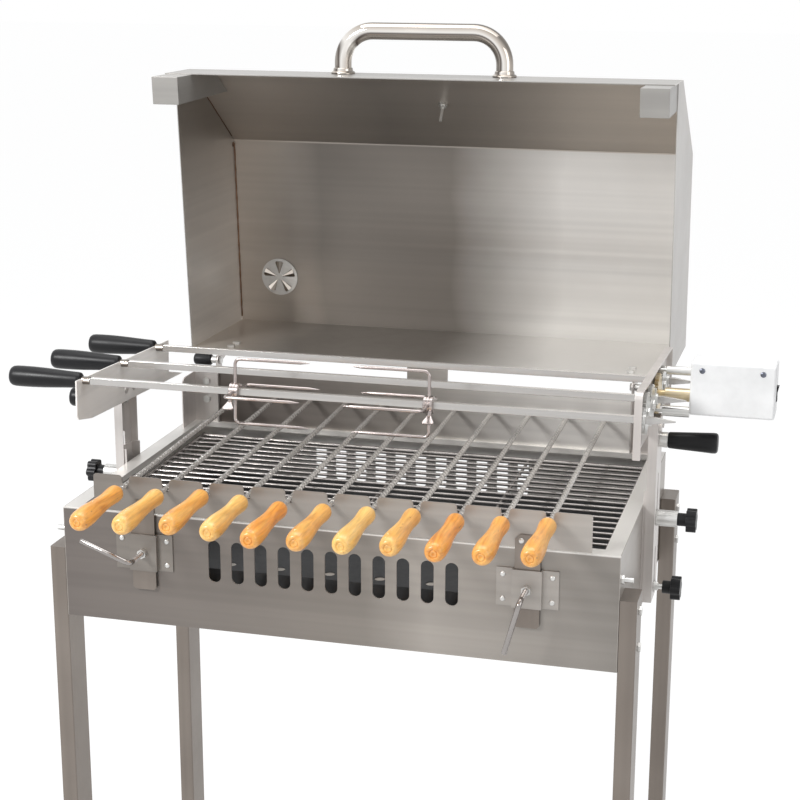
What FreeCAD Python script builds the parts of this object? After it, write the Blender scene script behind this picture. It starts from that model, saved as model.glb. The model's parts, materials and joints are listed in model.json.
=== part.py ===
import FreeCAD, Part
import math
import os

# Charcoal barbecue on four legs, with a hood, three motor driven spits and eleven hand skewers.
# The sizes are in millimetres. While it is modelled, X runs along the box with 0 in its middle,
# Y runs back from its front face and Z runs up from its rim. The last function moves the origin
# to the middle of the underside of the whole object.

V = FreeCAD.Vector
X_AXIS = V(1, 0, 0)
Y_AXIS = V(0, 1, 0)
Z_AXIS = V(0, 0, 1)
ORIGIN = V(0, 0, 0)
SIDES = {"left": -1, "right": 1}

# Fit between pieces
running_gap = 0.3
bearing_gap = 0.1
thread_gap = 0.1

# Fire box
box_width = 840.0
box_depth = 530.0
box_height = 173.0
box_sheet = 2.0
rim_width = 25.0
rim_lip = 9.0
slot_count = 11
slot_pitch = 36.0
slot_width = 19.0
slot_top = -32.0
slot_bottom = -97.0
ledge_width = 34.0
ledge_top = -28.0

# Charcoal tray on the floor of the box
tray_gap = 2.0
tray_top = -86.0
tray_sheet = 1.5
tray_hole_radius = 9.0
tray_hole_rows = 3
tray_hole_columns = 9

# Cooking grate
grate_gap = 2.0
grate_bars = 18
grate_wire_radius = 2.5
grate_frame_radius = 4.0
grate_cross_bars = 3
grate_pull_radius = 14.0

# Legs
leg_thick = 25.0
leg_deep = 54.0
leg_wall = 2.0
leg_top = -65.0
rim_height = 850.0
foot_cap_height = 6.0
foot_cap_plug = 25.0
leg_bolt_drops = (22.0, 77.0)

# Bolts
bolt_radius = 4.0
bolt_head_radius = 7.0
bolt_head_height = 4.0
screw_radius = 2.5
screw_head_radius = 4.2
screw_head_height = 2.2
side_bolt_y = 16.0
side_bolt_z = -39.0
side_bolt_length = 17.0

# Front rest for the skewers, its tongues, brackets and clamp screws
rest_insets = {"left": 53.0, "right": 40.0}
rest_bottom = 3.0
rest_top = 58.0
rest_sheet = 2.0
rest_gap = 1.5
notch_width = 13.0
tongue_inset = 130.0
tongue_width = 37.0
tongue_sheet = 2.0
tongue_top = 22.0
tongue_bottom = -117.0
bracket_top = -30.0
bracket_bottom = -87.0
bracket_sheet = 2.0
bracket_width = 80.0
bracket_play = 1.0
bracket_screw_spread = 35.5
bracket_screw_drops = (10.0, 47.0)
clamp_rod_radius = 4.0
clamp_short_leg = 42.0
clamp_long_leg = 82.0
clamp_bend = 9.0
clamp_nut_radius = 7.5
clamp_nut_height = 7.0
clamp_turns = {"left": 111.0, "right": 15.0}

# Skewers
skewer_count = 11
skewer_pitch = 63.6
skewer_middle_x = 2.0
skewer_side = 6.0
skewer_height = 43.0
skewer_lean = 1.2
skewer_tip_reach = 20.0
skewer_point = 16.0
skewer_pushes = (-6.0, -6.0, 9.0, 0.0, -13.0, -7.0, -3.0, 6.0, 1.0, 5.0, 15.0)
handle_front = -28.0
handle_length = 138.0
handle_butt_radius = 11.5
handle_bulge_radius = 15.0
handle_waist_radius = 11.4
handle_flare_radius = 12.8

# Rear plate and posts
rear_plate_inset = 18.0
post_inset = 58.0
rear_plate_top = 90.0
rear_plate_sheet = 2.0
stop_tab_left = -21.0
stop_tab_width = 71.0
stop_tab_top = 121.0
post_sheet = 2.0
post_width = 48.0
post_top = 88.0
post_wing = 58.0
post_corner = 14.0
ear_radius = 11.0

# Hood hinge
hinge_inset = 12.0
hinge_z = 110.0
hinge_pin_radius = 4.0
hinge_knob_radius = 10.0
hinge_knob_length = 32.0
hinge_spacer = 10.0
leaf_sheet = 2.0
leaf_reach = 62.0
leaf_flange = 22.0
leaf_bolt_reaches = (0.3, 0.75)

# Hood, drawn closed: s runs forward from its rear lip and h up from its lower edge
hood_sheet = 1.5
hood_lip_overhang = 3.0
hood_lip_z = 125.0
hood_lean = 4.8
hood_roof_rear = (-24.0, 256.0)
hood_roof_front = (322.0, 262.0)
hood_front_s = 480.0
hood_front_top = 67.0
hood_front_bottom = -43.0
hood_front_lean = 10.0
hood_foot_side = 45.0
hood_foot_bottom = -104.0
hood_handle_half = 136.0
hood_handle_radius = 14.0
hood_handle_reach = 70.0
hood_handle_bend = 51.0
hood_handle_h = 36.0
hood_collar_radius = 20.0
hood_collar_height = 5.0
gauge_x = 8.0
gauge_s = 418.6
gauge_radius = 31.0
gauge_depth = 14.0
probe_radius = 2.6
probe_length = 34.0
vent_x = -339.0
vent_s = 65.0
vent_radius = 35.0
vent_sheet = 1.5
vent_spokes = 5
vent_window_deg = 17.0
vent_shut_turn = 0.5
vent_knob_radius = 8.0

# Side columns with their guides, studs and star knobs
column_width = 60.0
column_sheet = 2.0
column_gap = 4.0
column_depth = 14.0
column_top = 130.0
column_bottom = -155.0
guide_top = 22.0
guide_bottom = -150.0
stud_z = {"upper": -27.0, "lower": -138.0}
slot_half = 5.0
lift_travel = 60.0
upper_slot_top = 45.0
spacer_length = 32.0
spacer_radius = 12.5
stud_washer_radius = 9.0
knob_gap = {"upper": spacer_length, "lower": 13.0}
knob_hub_radius = 10.0
knob_hub_length = 13.0
knob_head_radius = 18.5
knob_head_length = 15.0
knob_lobe_radius = 6.0
knob_lobes = 6

# Spit plates and lifting handles. What the plates carry sags towards the rear by plate_lean
# degrees about the plates' bolts, and its sizes are given as it would stand level.
plate_sheet = 2.5
plate_lean = 2.6
left_plate_front = 66.0
left_plate_rear = 430.0
left_plate_rise = 3.5
left_plate_bottom = 100.0
left_plate_tail = 63.0
left_plate_nose = (52.0, 14.0)
gear_plate_front = 71.0
gear_plate_rear = 452.0
gear_plate_top = 207.0
gear_plate_bottom = 110.0
gear_plate_flange = 8.5
gear_plate_corner = 12.0
lift_handle_z = 97.0
lift_handle_length = 87.0
lift_handle_radius = 15.6
plate_bolt_z = 119.0

# Spits
spit_first_y = 91.0
spit_spacing = 144.0
spit_z = 165.0
spit_side = 10.0
spit_collar_radius = 6.0
spit_tip_reach = 54.0
spit_point = 34.0
spit_grip_gap = 0.6
spit_grip_length = 117.0
spit_grip_small = 12.0
spit_grip_large = 16.0

# Gear train on the outside of the right hand plate
spit_gear_teeth = 12
idler_gear_teeth = 24
gears_per_spacing = 3
gear_face = 6.0
gear_backlash = 0.4
gear_plate_gap = 3.0
gear_hub_radius = 9.0
pressure_angle = 25.0
gear_pin_radius = 5.0
gear_head_height = 3.0
drive_gear_index = 4
motor_shaft_radius = 6.0
motor_coupling_radius = 10.0

# Motor box
motor_stand_off = 58.0
motor_length = 124.0
motor_front = 232.0
motor_deep = 62.0
motor_bottom = 145.0
motor_tall = 80.0
motor_edge = 4.0
motor_bolt_radius = 2.5
motor_bolts = ((286.0, 200.0, 6.5), (243.5, 146.8, 8.0))
rocker_z = 180.0
rocker_width = 15.0
rocker_tall = 25.0
rocker_rise = 3.5
rocker_angle = 7.0

# Forks on the front spit
fork_x = {"left": -176.0, "right": 122.0}
fork_hub_radius = 13.0
fork_hub_length = 15.0
fork_wire_radius = 2.5
fork_reach = 49.0
fork_prong = 102.0
fork_bend = 8.0
fork_point = 14.0
thumb_screw_radius = 3.0
thumb_screw_length = 26.0

half_width = box_width / 2
rest_ends = [rest_insets["left"] - half_width, half_width - rest_insets["right"]]
tongue_place = half_width - tongue_inset
rear_plate_face = box_depth - rear_plate_inset
rear_plate_half = half_width - post_inset
hinge_y = box_depth - hinge_inset
hood_lip_y = box_depth + hood_lip_overhang
column_y = box_depth / 2
column_edge = half_width + column_gap
column_web = column_edge + column_depth
motor_face = column_edge + motor_stand_off
spit_tip_x = column_edge + spit_tip_reach
spit_grip_start = column_edge + spit_grip_gap
left_plate_top = spit_z + left_plate_rise
gear_module = spit_spacing / (spit_gear_teeth + (gears_per_spacing - 1) * idler_gear_teeth)
spit_ys = [spit_first_y + spit_spacing * index for index in range(3)]
skewer_xs = [skewer_middle_x + skewer_pitch * (index - (skewer_count - 1) / 2)
             for index in range(skewer_count)]
tray_floor = -box_height + box_sheet
nodes = {}


def block(x0, x1, y0, y1, z0, z1):
    low = V(min(x0, x1), min(y0, y1), min(z0, z1))
    return Part.makeBox(abs(x1 - x0), abs(y1 - y0), abs(z1 - z0), low)


def rod(start, direction, radius, length):
    return Part.makeCylinder(radius, length, start, direction)


def prism(points, direction, length):
    wire = Part.makePolygon(points + [points[0]])
    return Part.Face(wire).extrude(direction * length)


def side_prism(outline, x0, x1):
    return prism([V(x0, y, z) for y, z in outline], X_AXIS, x1 - x0)


def front_prism(outline, y0, y1):
    return prism([V(x, y0, z) for x, z in outline], Y_AXIS, y1 - y0)


def flat_prism(outline, z0, z1):
    return prism([V(x, y, z0) for x, y in outline], Z_AXIS, z1 - z0)


def square_axes(axis):
    """The axis as a unit vector, with two more square to it."""
    along = V(axis)
    along.normalize()
    helper = V(0, 0, 1) if abs(along.z) < 0.5 else V(1, 0, 0)
    other = along.cross(helper)
    other.normalize()
    return along, other.cross(along), other


def lathe(outline, start, axis):
    """Turns (distance along the axis, radius) pairs about the axis."""
    along, across, _ = square_axes(axis)
    points = [start + along * distance + across * radius for distance, radius in outline]
    return Part.Face(Part.makePolygon(points + [points[0]])).revolve(start, along, 360)


def hexagon_rod(start, axis, radius, length):
    along, across, other = square_axes(axis)
    corners = []
    for index in range(6):
        turn = math.radians(60 * index)
        corners.append(start + across * (radius * math.cos(turn)) + other * (radius * math.sin(turn)))
    return prism(corners, along, length)


def mirrored(shape, side):
    if side > 0:
        return shape
    return shape.mirror(ORIGIN, X_AXIS)


def leaning(shapes):
    """Turns what the spit plates carry from level to its lean about the plates' bolts."""
    return [shape.rotate(V(0, column_y, plate_bolt_z), X_AXIS, -plate_lean) for shape in shapes]


def plate_bolt_places():
    """The plates' bolts as (y, z), on the line that leans."""
    lean = math.radians(plate_lean)
    return [(column_y + part * column_width * math.cos(lean),
             plate_bolt_z - part * column_width * math.sin(lean)) for part in (-0.25, 0.25)]


def bent_strip(points, thickness):
    """Closes a folded sheet's outline from the line of its outer face; the sheet lies to its left."""
    lines = []
    for start, end in zip(points, points[1:]):
        length = math.hypot(end[0] - start[0], end[1] - start[1])
        shift = (-(end[1] - start[1]) / length * thickness, (end[0] - start[0]) / length * thickness)
        lines.append(((start[0] + shift[0], start[1] + shift[1]), (end[0] + shift[0], end[1] + shift[1])))
    inner = [lines[0][0]]
    for first, second in zip(lines, lines[1:]):
        inner.append(crossing(first, second))
    inner.append(lines[-1][1])
    return points + inner[::-1]


def crossing(first, second):
    (x1, y1), (x2, y2) = first
    (x3, y3), (x4, y4) = second
    spread = (x1 - x2) * (y3 - y4) - (y1 - y2) * (x3 - x4)
    one = x1 * y2 - y1 * x2
    two = x3 * y4 - y3 * x4
    return ((one * (x3 - x4) - (x1 - x2) * two) / spread, (one * (y3 - y4) - (y1 - y2) * two) / spread)


def bolt(head_base, axis, shank_length):
    """A hexagon bolt: its head stands on head_base along the axis and its shank runs the other way."""
    head = hexagon_rod(head_base, axis, bolt_head_radius, bolt_head_height)
    shank = rod(head_base, axis * -1, bolt_radius, shank_length)
    return head.fuse(shank)


def screw(head_base, axis, shank_length):
    """A round headed screw, placed like a bolt."""
    profile = [(0, 0), (0, screw_head_radius), (screw_head_height * 0.6, screw_head_radius * 0.8),
               (screw_head_height, screw_head_radius * 0.35), (screw_head_height, 0)]
    return lathe(profile, head_base, axis).fuse(rod(head_base, axis * -1, screw_radius, shank_length))


def slot_cutter(x, y0, y1):
    radius = slot_width / 2
    middle = block(x - radius, x + radius, y0, y1, slot_bottom + radius, slot_top - radius)
    ends = [rod(V(x, y0, z), Y_AXIS, radius, y1 - y0) for z in (slot_bottom + radius, slot_top - radius)]
    return middle.fuse(ends).removeSplitter()


def firebox():
    outer = block(-half_width, half_width, 0, box_depth, -box_height, 0)
    inner = block(-half_width + box_sheet, half_width - box_sheet, box_sheet, box_depth - box_sheet,
                  tray_floor, -box_sheet)
    mouth = block(-half_width + rim_width, half_width - rim_width, rim_width, box_depth - rim_width,
                  -box_sheet * 2, 1)
    shell = outer.cut(inner).cut(mouth)
    lip_outer = block(-half_width + rim_width - box_sheet, half_width - rim_width + box_sheet,
                      rim_width - box_sheet, box_depth - rim_width + box_sheet, -rim_lip, 0)
    shell = shell.fuse(lip_outer.cut(mouth.fuse(block(-half_width + rim_width, half_width - rim_width,
                                                      rim_width, box_depth - rim_width, -rim_lip, 0))))
    ledges = [side_ledge(side) for side in SIDES.values()]
    shell = shell.fuse(ledges)
    for index in range(slot_count):
        x = slot_pitch * (index - (slot_count - 1) / 2)
        shell = shell.cut([slot_cutter(x, -1, box_sheet + 1),
                           slot_cutter(x, box_depth - box_sheet - 1, box_depth + 1)])
    holes = [rod(V(side * (half_width - box_sheet - 1), y, z), X_AXIS * side, bolt_radius + thread_gap,
                 box_sheet + 2) for side in SIDES.values()
             for y, z in wall_bolt_places()]
    holes += [rod(V(side * (half_width - 2 * box_sheet - 1), side_bolt_y, side_bolt_z), X_AXIS * side,
                  bolt_radius + thread_gap, 2 * box_sheet + 2) for side in SIDES.values()]
    holes += [rod(V(x, -1, z), Y_AXIS, screw_radius + thread_gap, box_sheet + 2)
              for x, z in bracket_screw_places()]
    return shell.cut(holes).removeSplitter()


def bracket_screw_places():
    return [(side * tongue_place + x, bracket_top - drop) for side in SIDES.values()
            for x in (-bracket_screw_spread, bracket_screw_spread) for drop in bracket_screw_drops]


def side_ledge(side):
    wall = half_width - box_sheet
    outline = bent_strip([(wall, ledge_top - ledge_width / 2), (wall, ledge_top),
                          (wall - ledge_width, ledge_top)], box_sheet)
    shape = prism([V(x, box_sheet, z) for x, z in outline], Y_AXIS, box_depth - 2 * box_sheet)
    return mirrored(shape, side)


def leg_ys():
    return {"front": 0.0, "rear": box_depth - leg_deep / 2 - rim_width}


def wall_bolt_places():
    """The legs' bolts as (y, z)."""
    places = []
    for y0 in leg_ys().values():
        places += [(y0 + leg_deep / 2, leg_top - drop) for drop in leg_bolt_drops]
    return places


def charcoal_tray():
    x = half_width - box_sheet - ledge_width - tray_gap
    y0 = rim_width + tray_gap
    y1 = box_depth - rim_width - tray_gap
    outer = block(-x, x, y0, y1, tray_floor, tray_top)
    inner = block(-x + tray_sheet, x - tray_sheet, y0 + tray_sheet, y1 - tray_sheet,
                  tray_floor + tray_sheet, tray_top + 1)
    holes = []
    for row in range(tray_hole_rows):
        for column in range(tray_hole_columns):
            place = V(-x + 2 * x * (column + 0.5) / tray_hole_columns,
                      y0 + (y1 - y0) * (row + 0.5) / tray_hole_rows, tray_floor - 1)
            holes.append(rod(place, Z_AXIS, tray_hole_radius, tray_sheet + 2))
    return outer.cut(inner).cut(holes)


def cooking_grate():
    x = half_width - rim_width - grate_gap - grate_frame_radius
    y0 = rim_width + grate_gap + grate_frame_radius
    y1 = box_depth - rim_width - grate_gap - grate_frame_radius
    frame_z = ledge_top + running_gap + grate_frame_radius
    wire_z = frame_z + grate_frame_radius - grate_wire_radius
    reach = grate_frame_radius
    pieces = [rod(V(-x, y, frame_z), X_AXIS, grate_frame_radius, 2 * x) for y in (y0, y1)]
    pieces += [rod(V(side * x, y0 - reach, frame_z), Y_AXIS, grate_frame_radius, y1 - y0 + 2 * reach)
               for side in SIDES.values()]
    for index in range(1, grate_cross_bars + 1):
        cross_x = -x + 2 * x * index / (grate_cross_bars + 1)
        pieces.append(rod(V(cross_x, y0, frame_z - grate_wire_radius / 2), Y_AXIS, grate_wire_radius,
                          y1 - y0))
    step = (y1 - y0) / (grate_bars + 1)
    for index in range(1, grate_bars + 1):
        pieces.append(rod(V(-x, y0 + step * index, wire_z), X_AXIS, grate_wire_radius, 2 * x))
    return pieces[0].fuse(pieces[1:])


def leg(side, y0):
    x0 = half_width
    bottom = -rim_height + foot_cap_height
    outer = block(x0, x0 + leg_thick, y0, y0 + leg_deep, bottom, leg_top)
    inner = block(x0 + leg_wall, x0 + leg_thick - leg_wall, y0 + leg_wall, y0 + leg_deep - leg_wall,
                  bottom - 1, leg_top - leg_wall)
    holes = [rod(V(x0 - 1, y0 + leg_deep / 2, leg_top - drop), X_AXIS, bolt_radius + thread_gap,
                 leg_thick + 2) for drop in leg_bolt_drops]
    edges = [edge for edge in outer.Edges
             if abs(edge.Vertexes[0].Z - edge.Vertexes[-1].Z) > leg_deep]
    tube = outer.makeFillet(leg_wall, edges).cut(inner).cut(holes)
    return mirrored(tube, side)


def foot_cap(side, y0):
    x0 = half_width
    pad = block(x0, x0 + leg_thick, y0, y0 + leg_deep, -rim_height, -rim_height + foot_cap_height)
    inset = leg_wall + thread_gap
    plug = block(x0 + inset, x0 + leg_thick - inset, y0 + inset, y0 + leg_deep - inset,
                 -rim_height + foot_cap_height, -rim_height + foot_cap_height + foot_cap_plug)
    return mirrored(pad.fuse(plug), side)


def frame_bolts():
    """The bolts of the legs and posts, the bracket screws and the nuts of the clamp screws."""
    pieces = []
    length = leg_thick + box_sheet
    for side in SIDES.values():
        for y, z in wall_bolt_places():
            head = V(side * (half_width + leg_thick), y, z)
            pieces.append(bolt(head, X_AXIS * side, length + bolt_head_height))
            nut = hexagon_rod(V(side * (half_width - box_sheet), y, z), X_AXIS * -side,
                              bolt_head_radius, bolt_head_height)
            pieces[-1] = pieces[-1].fuse(nut)
        for z in post_bolt_zs():
            x = side * (post_inner() + post_width / 2)
            head = V(x, post_face(), z)
            nut = hexagon_rod(head + V(0, post_sheet, 0), Y_AXIS, bolt_head_radius, bolt_head_height)
            pieces.append(bolt(head, Y_AXIS * -1, post_sheet + bolt_head_height).fuse(nut))
        pieces.append(clamp_nut(side))
        inside = V(side * (half_width - 2 * box_sheet), side_bolt_y, side_bolt_z)
        nut = hexagon_rod(V(side * half_width, side_bolt_y, side_bolt_z), X_AXIS * side,
                          bolt_head_radius, bolt_head_height)
        head = hexagon_rod(inside, X_AXIS * -side, bolt_head_radius, bolt_head_height)
        shank = rod(inside, X_AXIS * side, bolt_radius, 2 * box_sheet + side_bolt_length)
        pieces.append(shank.fuse([nut, head]))
    pieces += [screw(V(x, -bracket_sheet, z), Y_AXIS * -1, bracket_sheet + box_sheet)
               for x, z in bracket_screw_places()]
    return pieces


def hat_depth():
    return rest_gap + rest_sheet + tongue_sheet + bracket_play


def clamp_z():
    return (bracket_top + bracket_bottom) / 2


def clamp_nut(side):
    face = -hat_depth() - bracket_sheet
    nut = hexagon_rod(V(side * tongue_place, face, clamp_z()), Y_AXIS * -1, clamp_nut_radius,
                      clamp_nut_height)
    bore = rod(V(side * tongue_place, face + 1, clamp_z()), Y_AXIS * -1,
               clamp_rod_radius + bearing_gap, clamp_nut_height + 2)
    return nut.cut(bore)


def guide_bracket(side):
    half_hat = tongue_width / 2 + bracket_play + bracket_sheet
    half = bracket_width / 2 + 5
    outline = bent_strip([(half, -bracket_sheet), (half_hat, -bracket_sheet),
                          (half_hat, -hat_depth() - bracket_sheet), (-half_hat, -hat_depth() - bracket_sheet),
                          (-half_hat, -bracket_sheet), (-half, -bracket_sheet)], -bracket_sheet)
    shape = flat_prism([(x + side * tongue_place, y) for x, y in outline], bracket_bottom, bracket_top)
    cuts = [rod(V(side * tongue_place, 0, clamp_z()), Y_AXIS * -1, clamp_rod_radius + bearing_gap,
                hat_depth() + bracket_sheet + 1)]
    cuts += [rod(V(x, 1, z), Y_AXIS * -1, screw_radius + thread_gap, bracket_sheet + 2)
             for x, z in bracket_screw_places()]
    return shape.cut(cuts)


def skewer_rest():
    y1 = -rest_gap
    y0 = y1 - rest_sheet
    plate = block(rest_ends[0], rest_ends[1], y0, y1, rest_bottom, rest_top)
    half = notch_width / 2
    floor = skewer_height - skewer_side * math.sqrt(0.5) - running_gap
    cuts = []
    for x in skewer_xs:
        outline = [(x - half, rest_top + 1), (x - half, rest_top), (x - half * 0.6, floor),
                   (x + half * 0.6, floor), (x + half, rest_top), (x + half, rest_top + 1)]
        cuts.append(front_prism(outline, y0 - 1, y1 + 1))
    for side in SIDES.values():
        for x in tongue_screw_xs():
            cuts.append(rod(V(side * tongue_place + x, y0 - 1, tongue_screw_z()), Y_AXIS,
                            screw_radius + thread_gap, rest_sheet + 2))
    return plate.cut(cuts)


def tongue_screw_xs():
    return (-tongue_width / 4, tongue_width / 4)


def tongue_screw_z():
    return (rest_bottom + tongue_top) / 2


def rest_tongue(side):
    chamfer = tongue_width / 5
    half = tongue_width / 2
    outline = [(-half, tongue_bottom + chamfer / 2), (-half + chamfer / 2, tongue_bottom),
               (half - chamfer / 2, tongue_bottom), (half, tongue_bottom + chamfer / 2),
               (half, tongue_top - chamfer), (half - chamfer, tongue_top),
               (-half + chamfer, tongue_top), (-half, tongue_top - chamfer)]
    y1 = -rest_gap - rest_sheet
    shape = front_prism([(x + side * tongue_place, z) for x, z in outline], y1 - tongue_sheet, y1)
    holes = [rod(V(side * tongue_place + x, y1 + 1, tongue_screw_z()), Y_AXIS * -1,
                 screw_radius + thread_gap, tongue_sheet + 2) for x in tongue_screw_xs()]
    return shape.cut(holes)


def tongue_screws():
    face = -rest_gap - rest_sheet - tongue_sheet
    return [screw(V(side * tongue_place + x, face, tongue_screw_z()), Y_AXIS * -1,
                  tongue_sheet + rest_sheet)
            for side in SIDES.values() for x in tongue_screw_xs()]


def clamp_screw(side_name):
    """An L shaped rod: its short leg is the screw and its long leg the lever."""
    side = SIDES[side_name]
    tip = -rest_gap - rest_sheet - tongue_sheet - running_gap
    corner = -hat_depth() - bracket_sheet - clamp_nut_height - clamp_short_leg
    start = V(side * tongue_place, tip, clamp_z())
    bend_start = V(start.x, corner + clamp_bend, start.z)
    middle = bend_start + V(0, -clamp_bend * math.sin(math.radians(45)),
                            -clamp_bend * (1 - math.cos(math.radians(45))))
    bend_end = bend_start + V(0, -clamp_bend, -clamp_bend)
    end = bend_end + V(0, 0, clamp_bend - clamp_long_leg)
    path = Part.Wire([Part.makeLine(start, bend_start), Part.Arc(bend_start, middle, bend_end).toShape(),
                      Part.makeLine(bend_end, end)])
    ring = Part.Wire([Part.makeCircle(clamp_rod_radius, start, Y_AXIS)])
    shape = path.makePipeShell([ring], True, False)
    return shape.rotate(start, Y_AXIS, clamp_turns[side_name])


def skewer_holes(sheet_y, thickness, radius):
    """Cutters along the skewers, which lean up towards the rear from the rest."""
    holes = []
    for x in skewer_xs:
        hole = rod(V(x, sheet_y - 2, skewer_height), Y_AXIS, radius, thickness + 4)
        holes.append(hole.rotate(V(x, -rest_gap, skewer_height), X_AXIS, skewer_lean))
    return holes


def skewer(x, push):
    """A wooden handle and a square rod with a point, as two solids; the rod lies on its edge."""
    butt = V(x, handle_front - handle_length, skewer_height)
    stations = [(0, 0), (0, handle_butt_radius - 2), (2.5, handle_butt_radius),
                (handle_length * 0.16, handle_bulge_radius), (handle_length * 0.3, handle_bulge_radius),
                (handle_length * 0.5, handle_waist_radius + 1.4), (handle_length * 0.68, handle_waist_radius),
                (handle_length * 0.86, handle_flare_radius - 0.8), (handle_length * 0.94, handle_flare_radius),
                (handle_length - 1.5, handle_flare_radius - 1.2), (handle_length, handle_waist_radius - 3),
                (handle_length, 0)]
    handle = lathe(stations, butt, Y_AXIS)
    half = skewer_side / 2
    tip_y = rear_plate_face + rear_plate_sheet + skewer_tip_reach
    shaft = block(x - half, x + half, handle_front, tip_y - skewer_point,
                  skewer_height - half, skewer_height + half)
    base = [V(x + a * half, tip_y - skewer_point, skewer_height + b * half)
            for a, b in ((-1, -1), (1, -1), (1, 1), (-1, 1))]
    small = [V(x + a * 1.2, tip_y, skewer_height + b * 1.2)
             for a, b in ((-1, -1), (1, -1), (1, 1), (-1, 1))]
    point = Part.makeLoft([Part.makePolygon(base + [base[0]]), Part.makePolygon(small + [small[0]])],
                          True, True)
    rod_solid = shaft.fuse(point).removeSplitter().rotate(V(x, 0, skewer_height), Y_AXIS, 45)
    pushed = [solid.translate(V(0, push, 0)) for solid in (handle, rod_solid)]
    return [solid.rotate(V(x, -rest_gap, skewer_height), X_AXIS, skewer_lean) for solid in pushed]


def post_face():
    return rear_plate_face + rear_plate_sheet


def post_inner():
    return rear_plate_half


def post_bolt_zs():
    return (post_top * 0.45, post_top * 0.82)


def rear_post(side):
    """A folded post: a wing along the side rim, a web across and an ear for the hinge pin."""
    face = post_face()
    inner = post_inner()
    outer = inner + post_width
    outline = bent_strip([(outer, face - post_wing), (outer, face + post_sheet),
                          (inner, face + post_sheet), (inner, face - post_sheet * 4)], post_sheet)
    shape = flat_prism(outline, 0, post_top)
    corner = block(outer - 2 * post_sheet, outer + 1, face - post_wing - 1, face - post_wing + post_corner,
                   post_top - post_corner, post_top + 1)
    rounder = rod(V(outer - 3 * post_sheet, face - post_wing + post_corner, post_top - post_corner),
                  X_AXIS, post_corner, post_sheet * 6)
    shape = shape.cut(corner.cut(rounder))
    ear_back = hinge_y + ear_radius
    ear = side_prism([(face, post_top / 2), (ear_back, post_top / 2), (ear_back, hinge_z),
                      (hinge_y - ear_radius, hinge_z), (hinge_y - ear_radius, post_top - 2),
                      (face, post_top - 2)], inner, inner + post_sheet)
    ear = ear.fuse(rod(V(inner, hinge_y, hinge_z), X_AXIS, ear_radius, post_sheet))
    pin_hole = rod(V(inner - 1, hinge_y, hinge_z), X_AXIS, hinge_pin_radius + thread_gap, post_sheet + 2)
    shape = shape.fuse(ear).cut(pin_hole)
    for z in post_bolt_zs():
        hole = rod(V(inner + post_width / 2, face - 1, z), Y_AXIS, bolt_radius + thread_gap, post_sheet + 2)
        shape = shape.cut(hole)
    return mirrored(shape.removeSplitter(), side)


def rear_plate():
    y0 = rear_plate_face
    plate = block(-rear_plate_half, rear_plate_half, y0, y0 + rear_plate_sheet, 0, rear_plate_top)
    tab = block(stop_tab_left, stop_tab_left + stop_tab_width, y0, y0 + rear_plate_sheet,
                rear_plate_top - 1, stop_tab_top)
    radius = skewer_side * math.sqrt(0.5) + running_gap
    return plate.fuse(tab).cut(skewer_holes(y0, rear_plate_sheet, radius)).removeSplitter()


def hinge_pin(side):
    """A pin with a head at the ear and a turned black knob on its outer end."""
    start = post_inner() - bolt_head_height
    length = bolt_head_height + post_sheet + running_gap + leaf_sheet + running_gap
    washer = rod(V(start + length, hinge_y, hinge_z), X_AXIS, hinge_pin_radius + 2, hinge_spacer)
    length += hinge_spacer
    pin = rod(V(start, hinge_y, hinge_z), X_AXIS, hinge_pin_radius, length + hinge_knob_length / 2)
    head = hexagon_rod(V(start, hinge_y, hinge_z), X_AXIS, bolt_head_radius, bolt_head_height)
    knob_start = V(start + length, hinge_y, hinge_z)
    profile = [(0, 0), (0, hinge_knob_radius * 0.7), (2, hinge_knob_radius),
               (hinge_knob_length - 3, hinge_knob_radius), (hinge_knob_length, hinge_knob_radius * 0.7),
               (hinge_knob_length, 0)]
    return mirrored(pin.fuse([head, washer, lathe(profile, knob_start, X_AXIS)]), side)


def column_guide(side):
    gap = running_gap
    inner_half = column_width / 2 - column_sheet - gap
    web = column_web - column_sheet - 0.5
    outline = bent_strip([(half_width, column_y - inner_half), (web, column_y - inner_half),
                          (web, column_y + inner_half), (half_width, column_y + inner_half)], column_sheet)
    shape = flat_prism(outline, guide_bottom, guide_top)
    holes = [rod(V(half_width, column_y, z), X_AXIS, bolt_radius + thread_gap, web) for z in stud_z.values()]
    return mirrored(shape.cut(holes), side)


def column_studs(side):
    """Studs through the guide, with a spacer tube on the upper one and a nut on the lower one."""
    web = column_web - column_sheet - 0.5
    pieces = []
    for place, z in stud_z.items():
        length = column_web - web + column_sheet + knob_gap[place] + knob_hub_length
        start = V(web - column_sheet, column_y, z)
        head = rod(start, X_AXIS * -1, bolt_head_radius, bolt_head_height)
        pieces.append(rod(start, X_AXIS, bolt_radius, length).fuse(head))
    face = column_web + running_gap
    bore = bolt_radius + thread_gap
    tube = rod(V(face, column_y, stud_z["upper"]), X_AXIS, spacer_radius, spacer_length - running_gap)
    hole = rod(V(face - 1, column_y, stud_z["upper"]), X_AXIS, bore, spacer_length + 2)
    pieces.append(tube.cut(hole))
    washer = rod(V(face, column_y, stud_z["lower"]), X_AXIS, stud_washer_radius, column_sheet)
    nut = hexagon_rod(V(face + column_sheet, column_y, stud_z["lower"]), X_AXIS, bolt_head_radius,
                      bolt_head_height)
    hole = rod(V(face - 1, column_y, stud_z["lower"]), X_AXIS, bore, column_sheet + bolt_head_height + 2)
    pieces.append(washer.fuse(nut).cut(hole))
    return [mirrored(piece, side) for piece in pieces]


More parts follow.
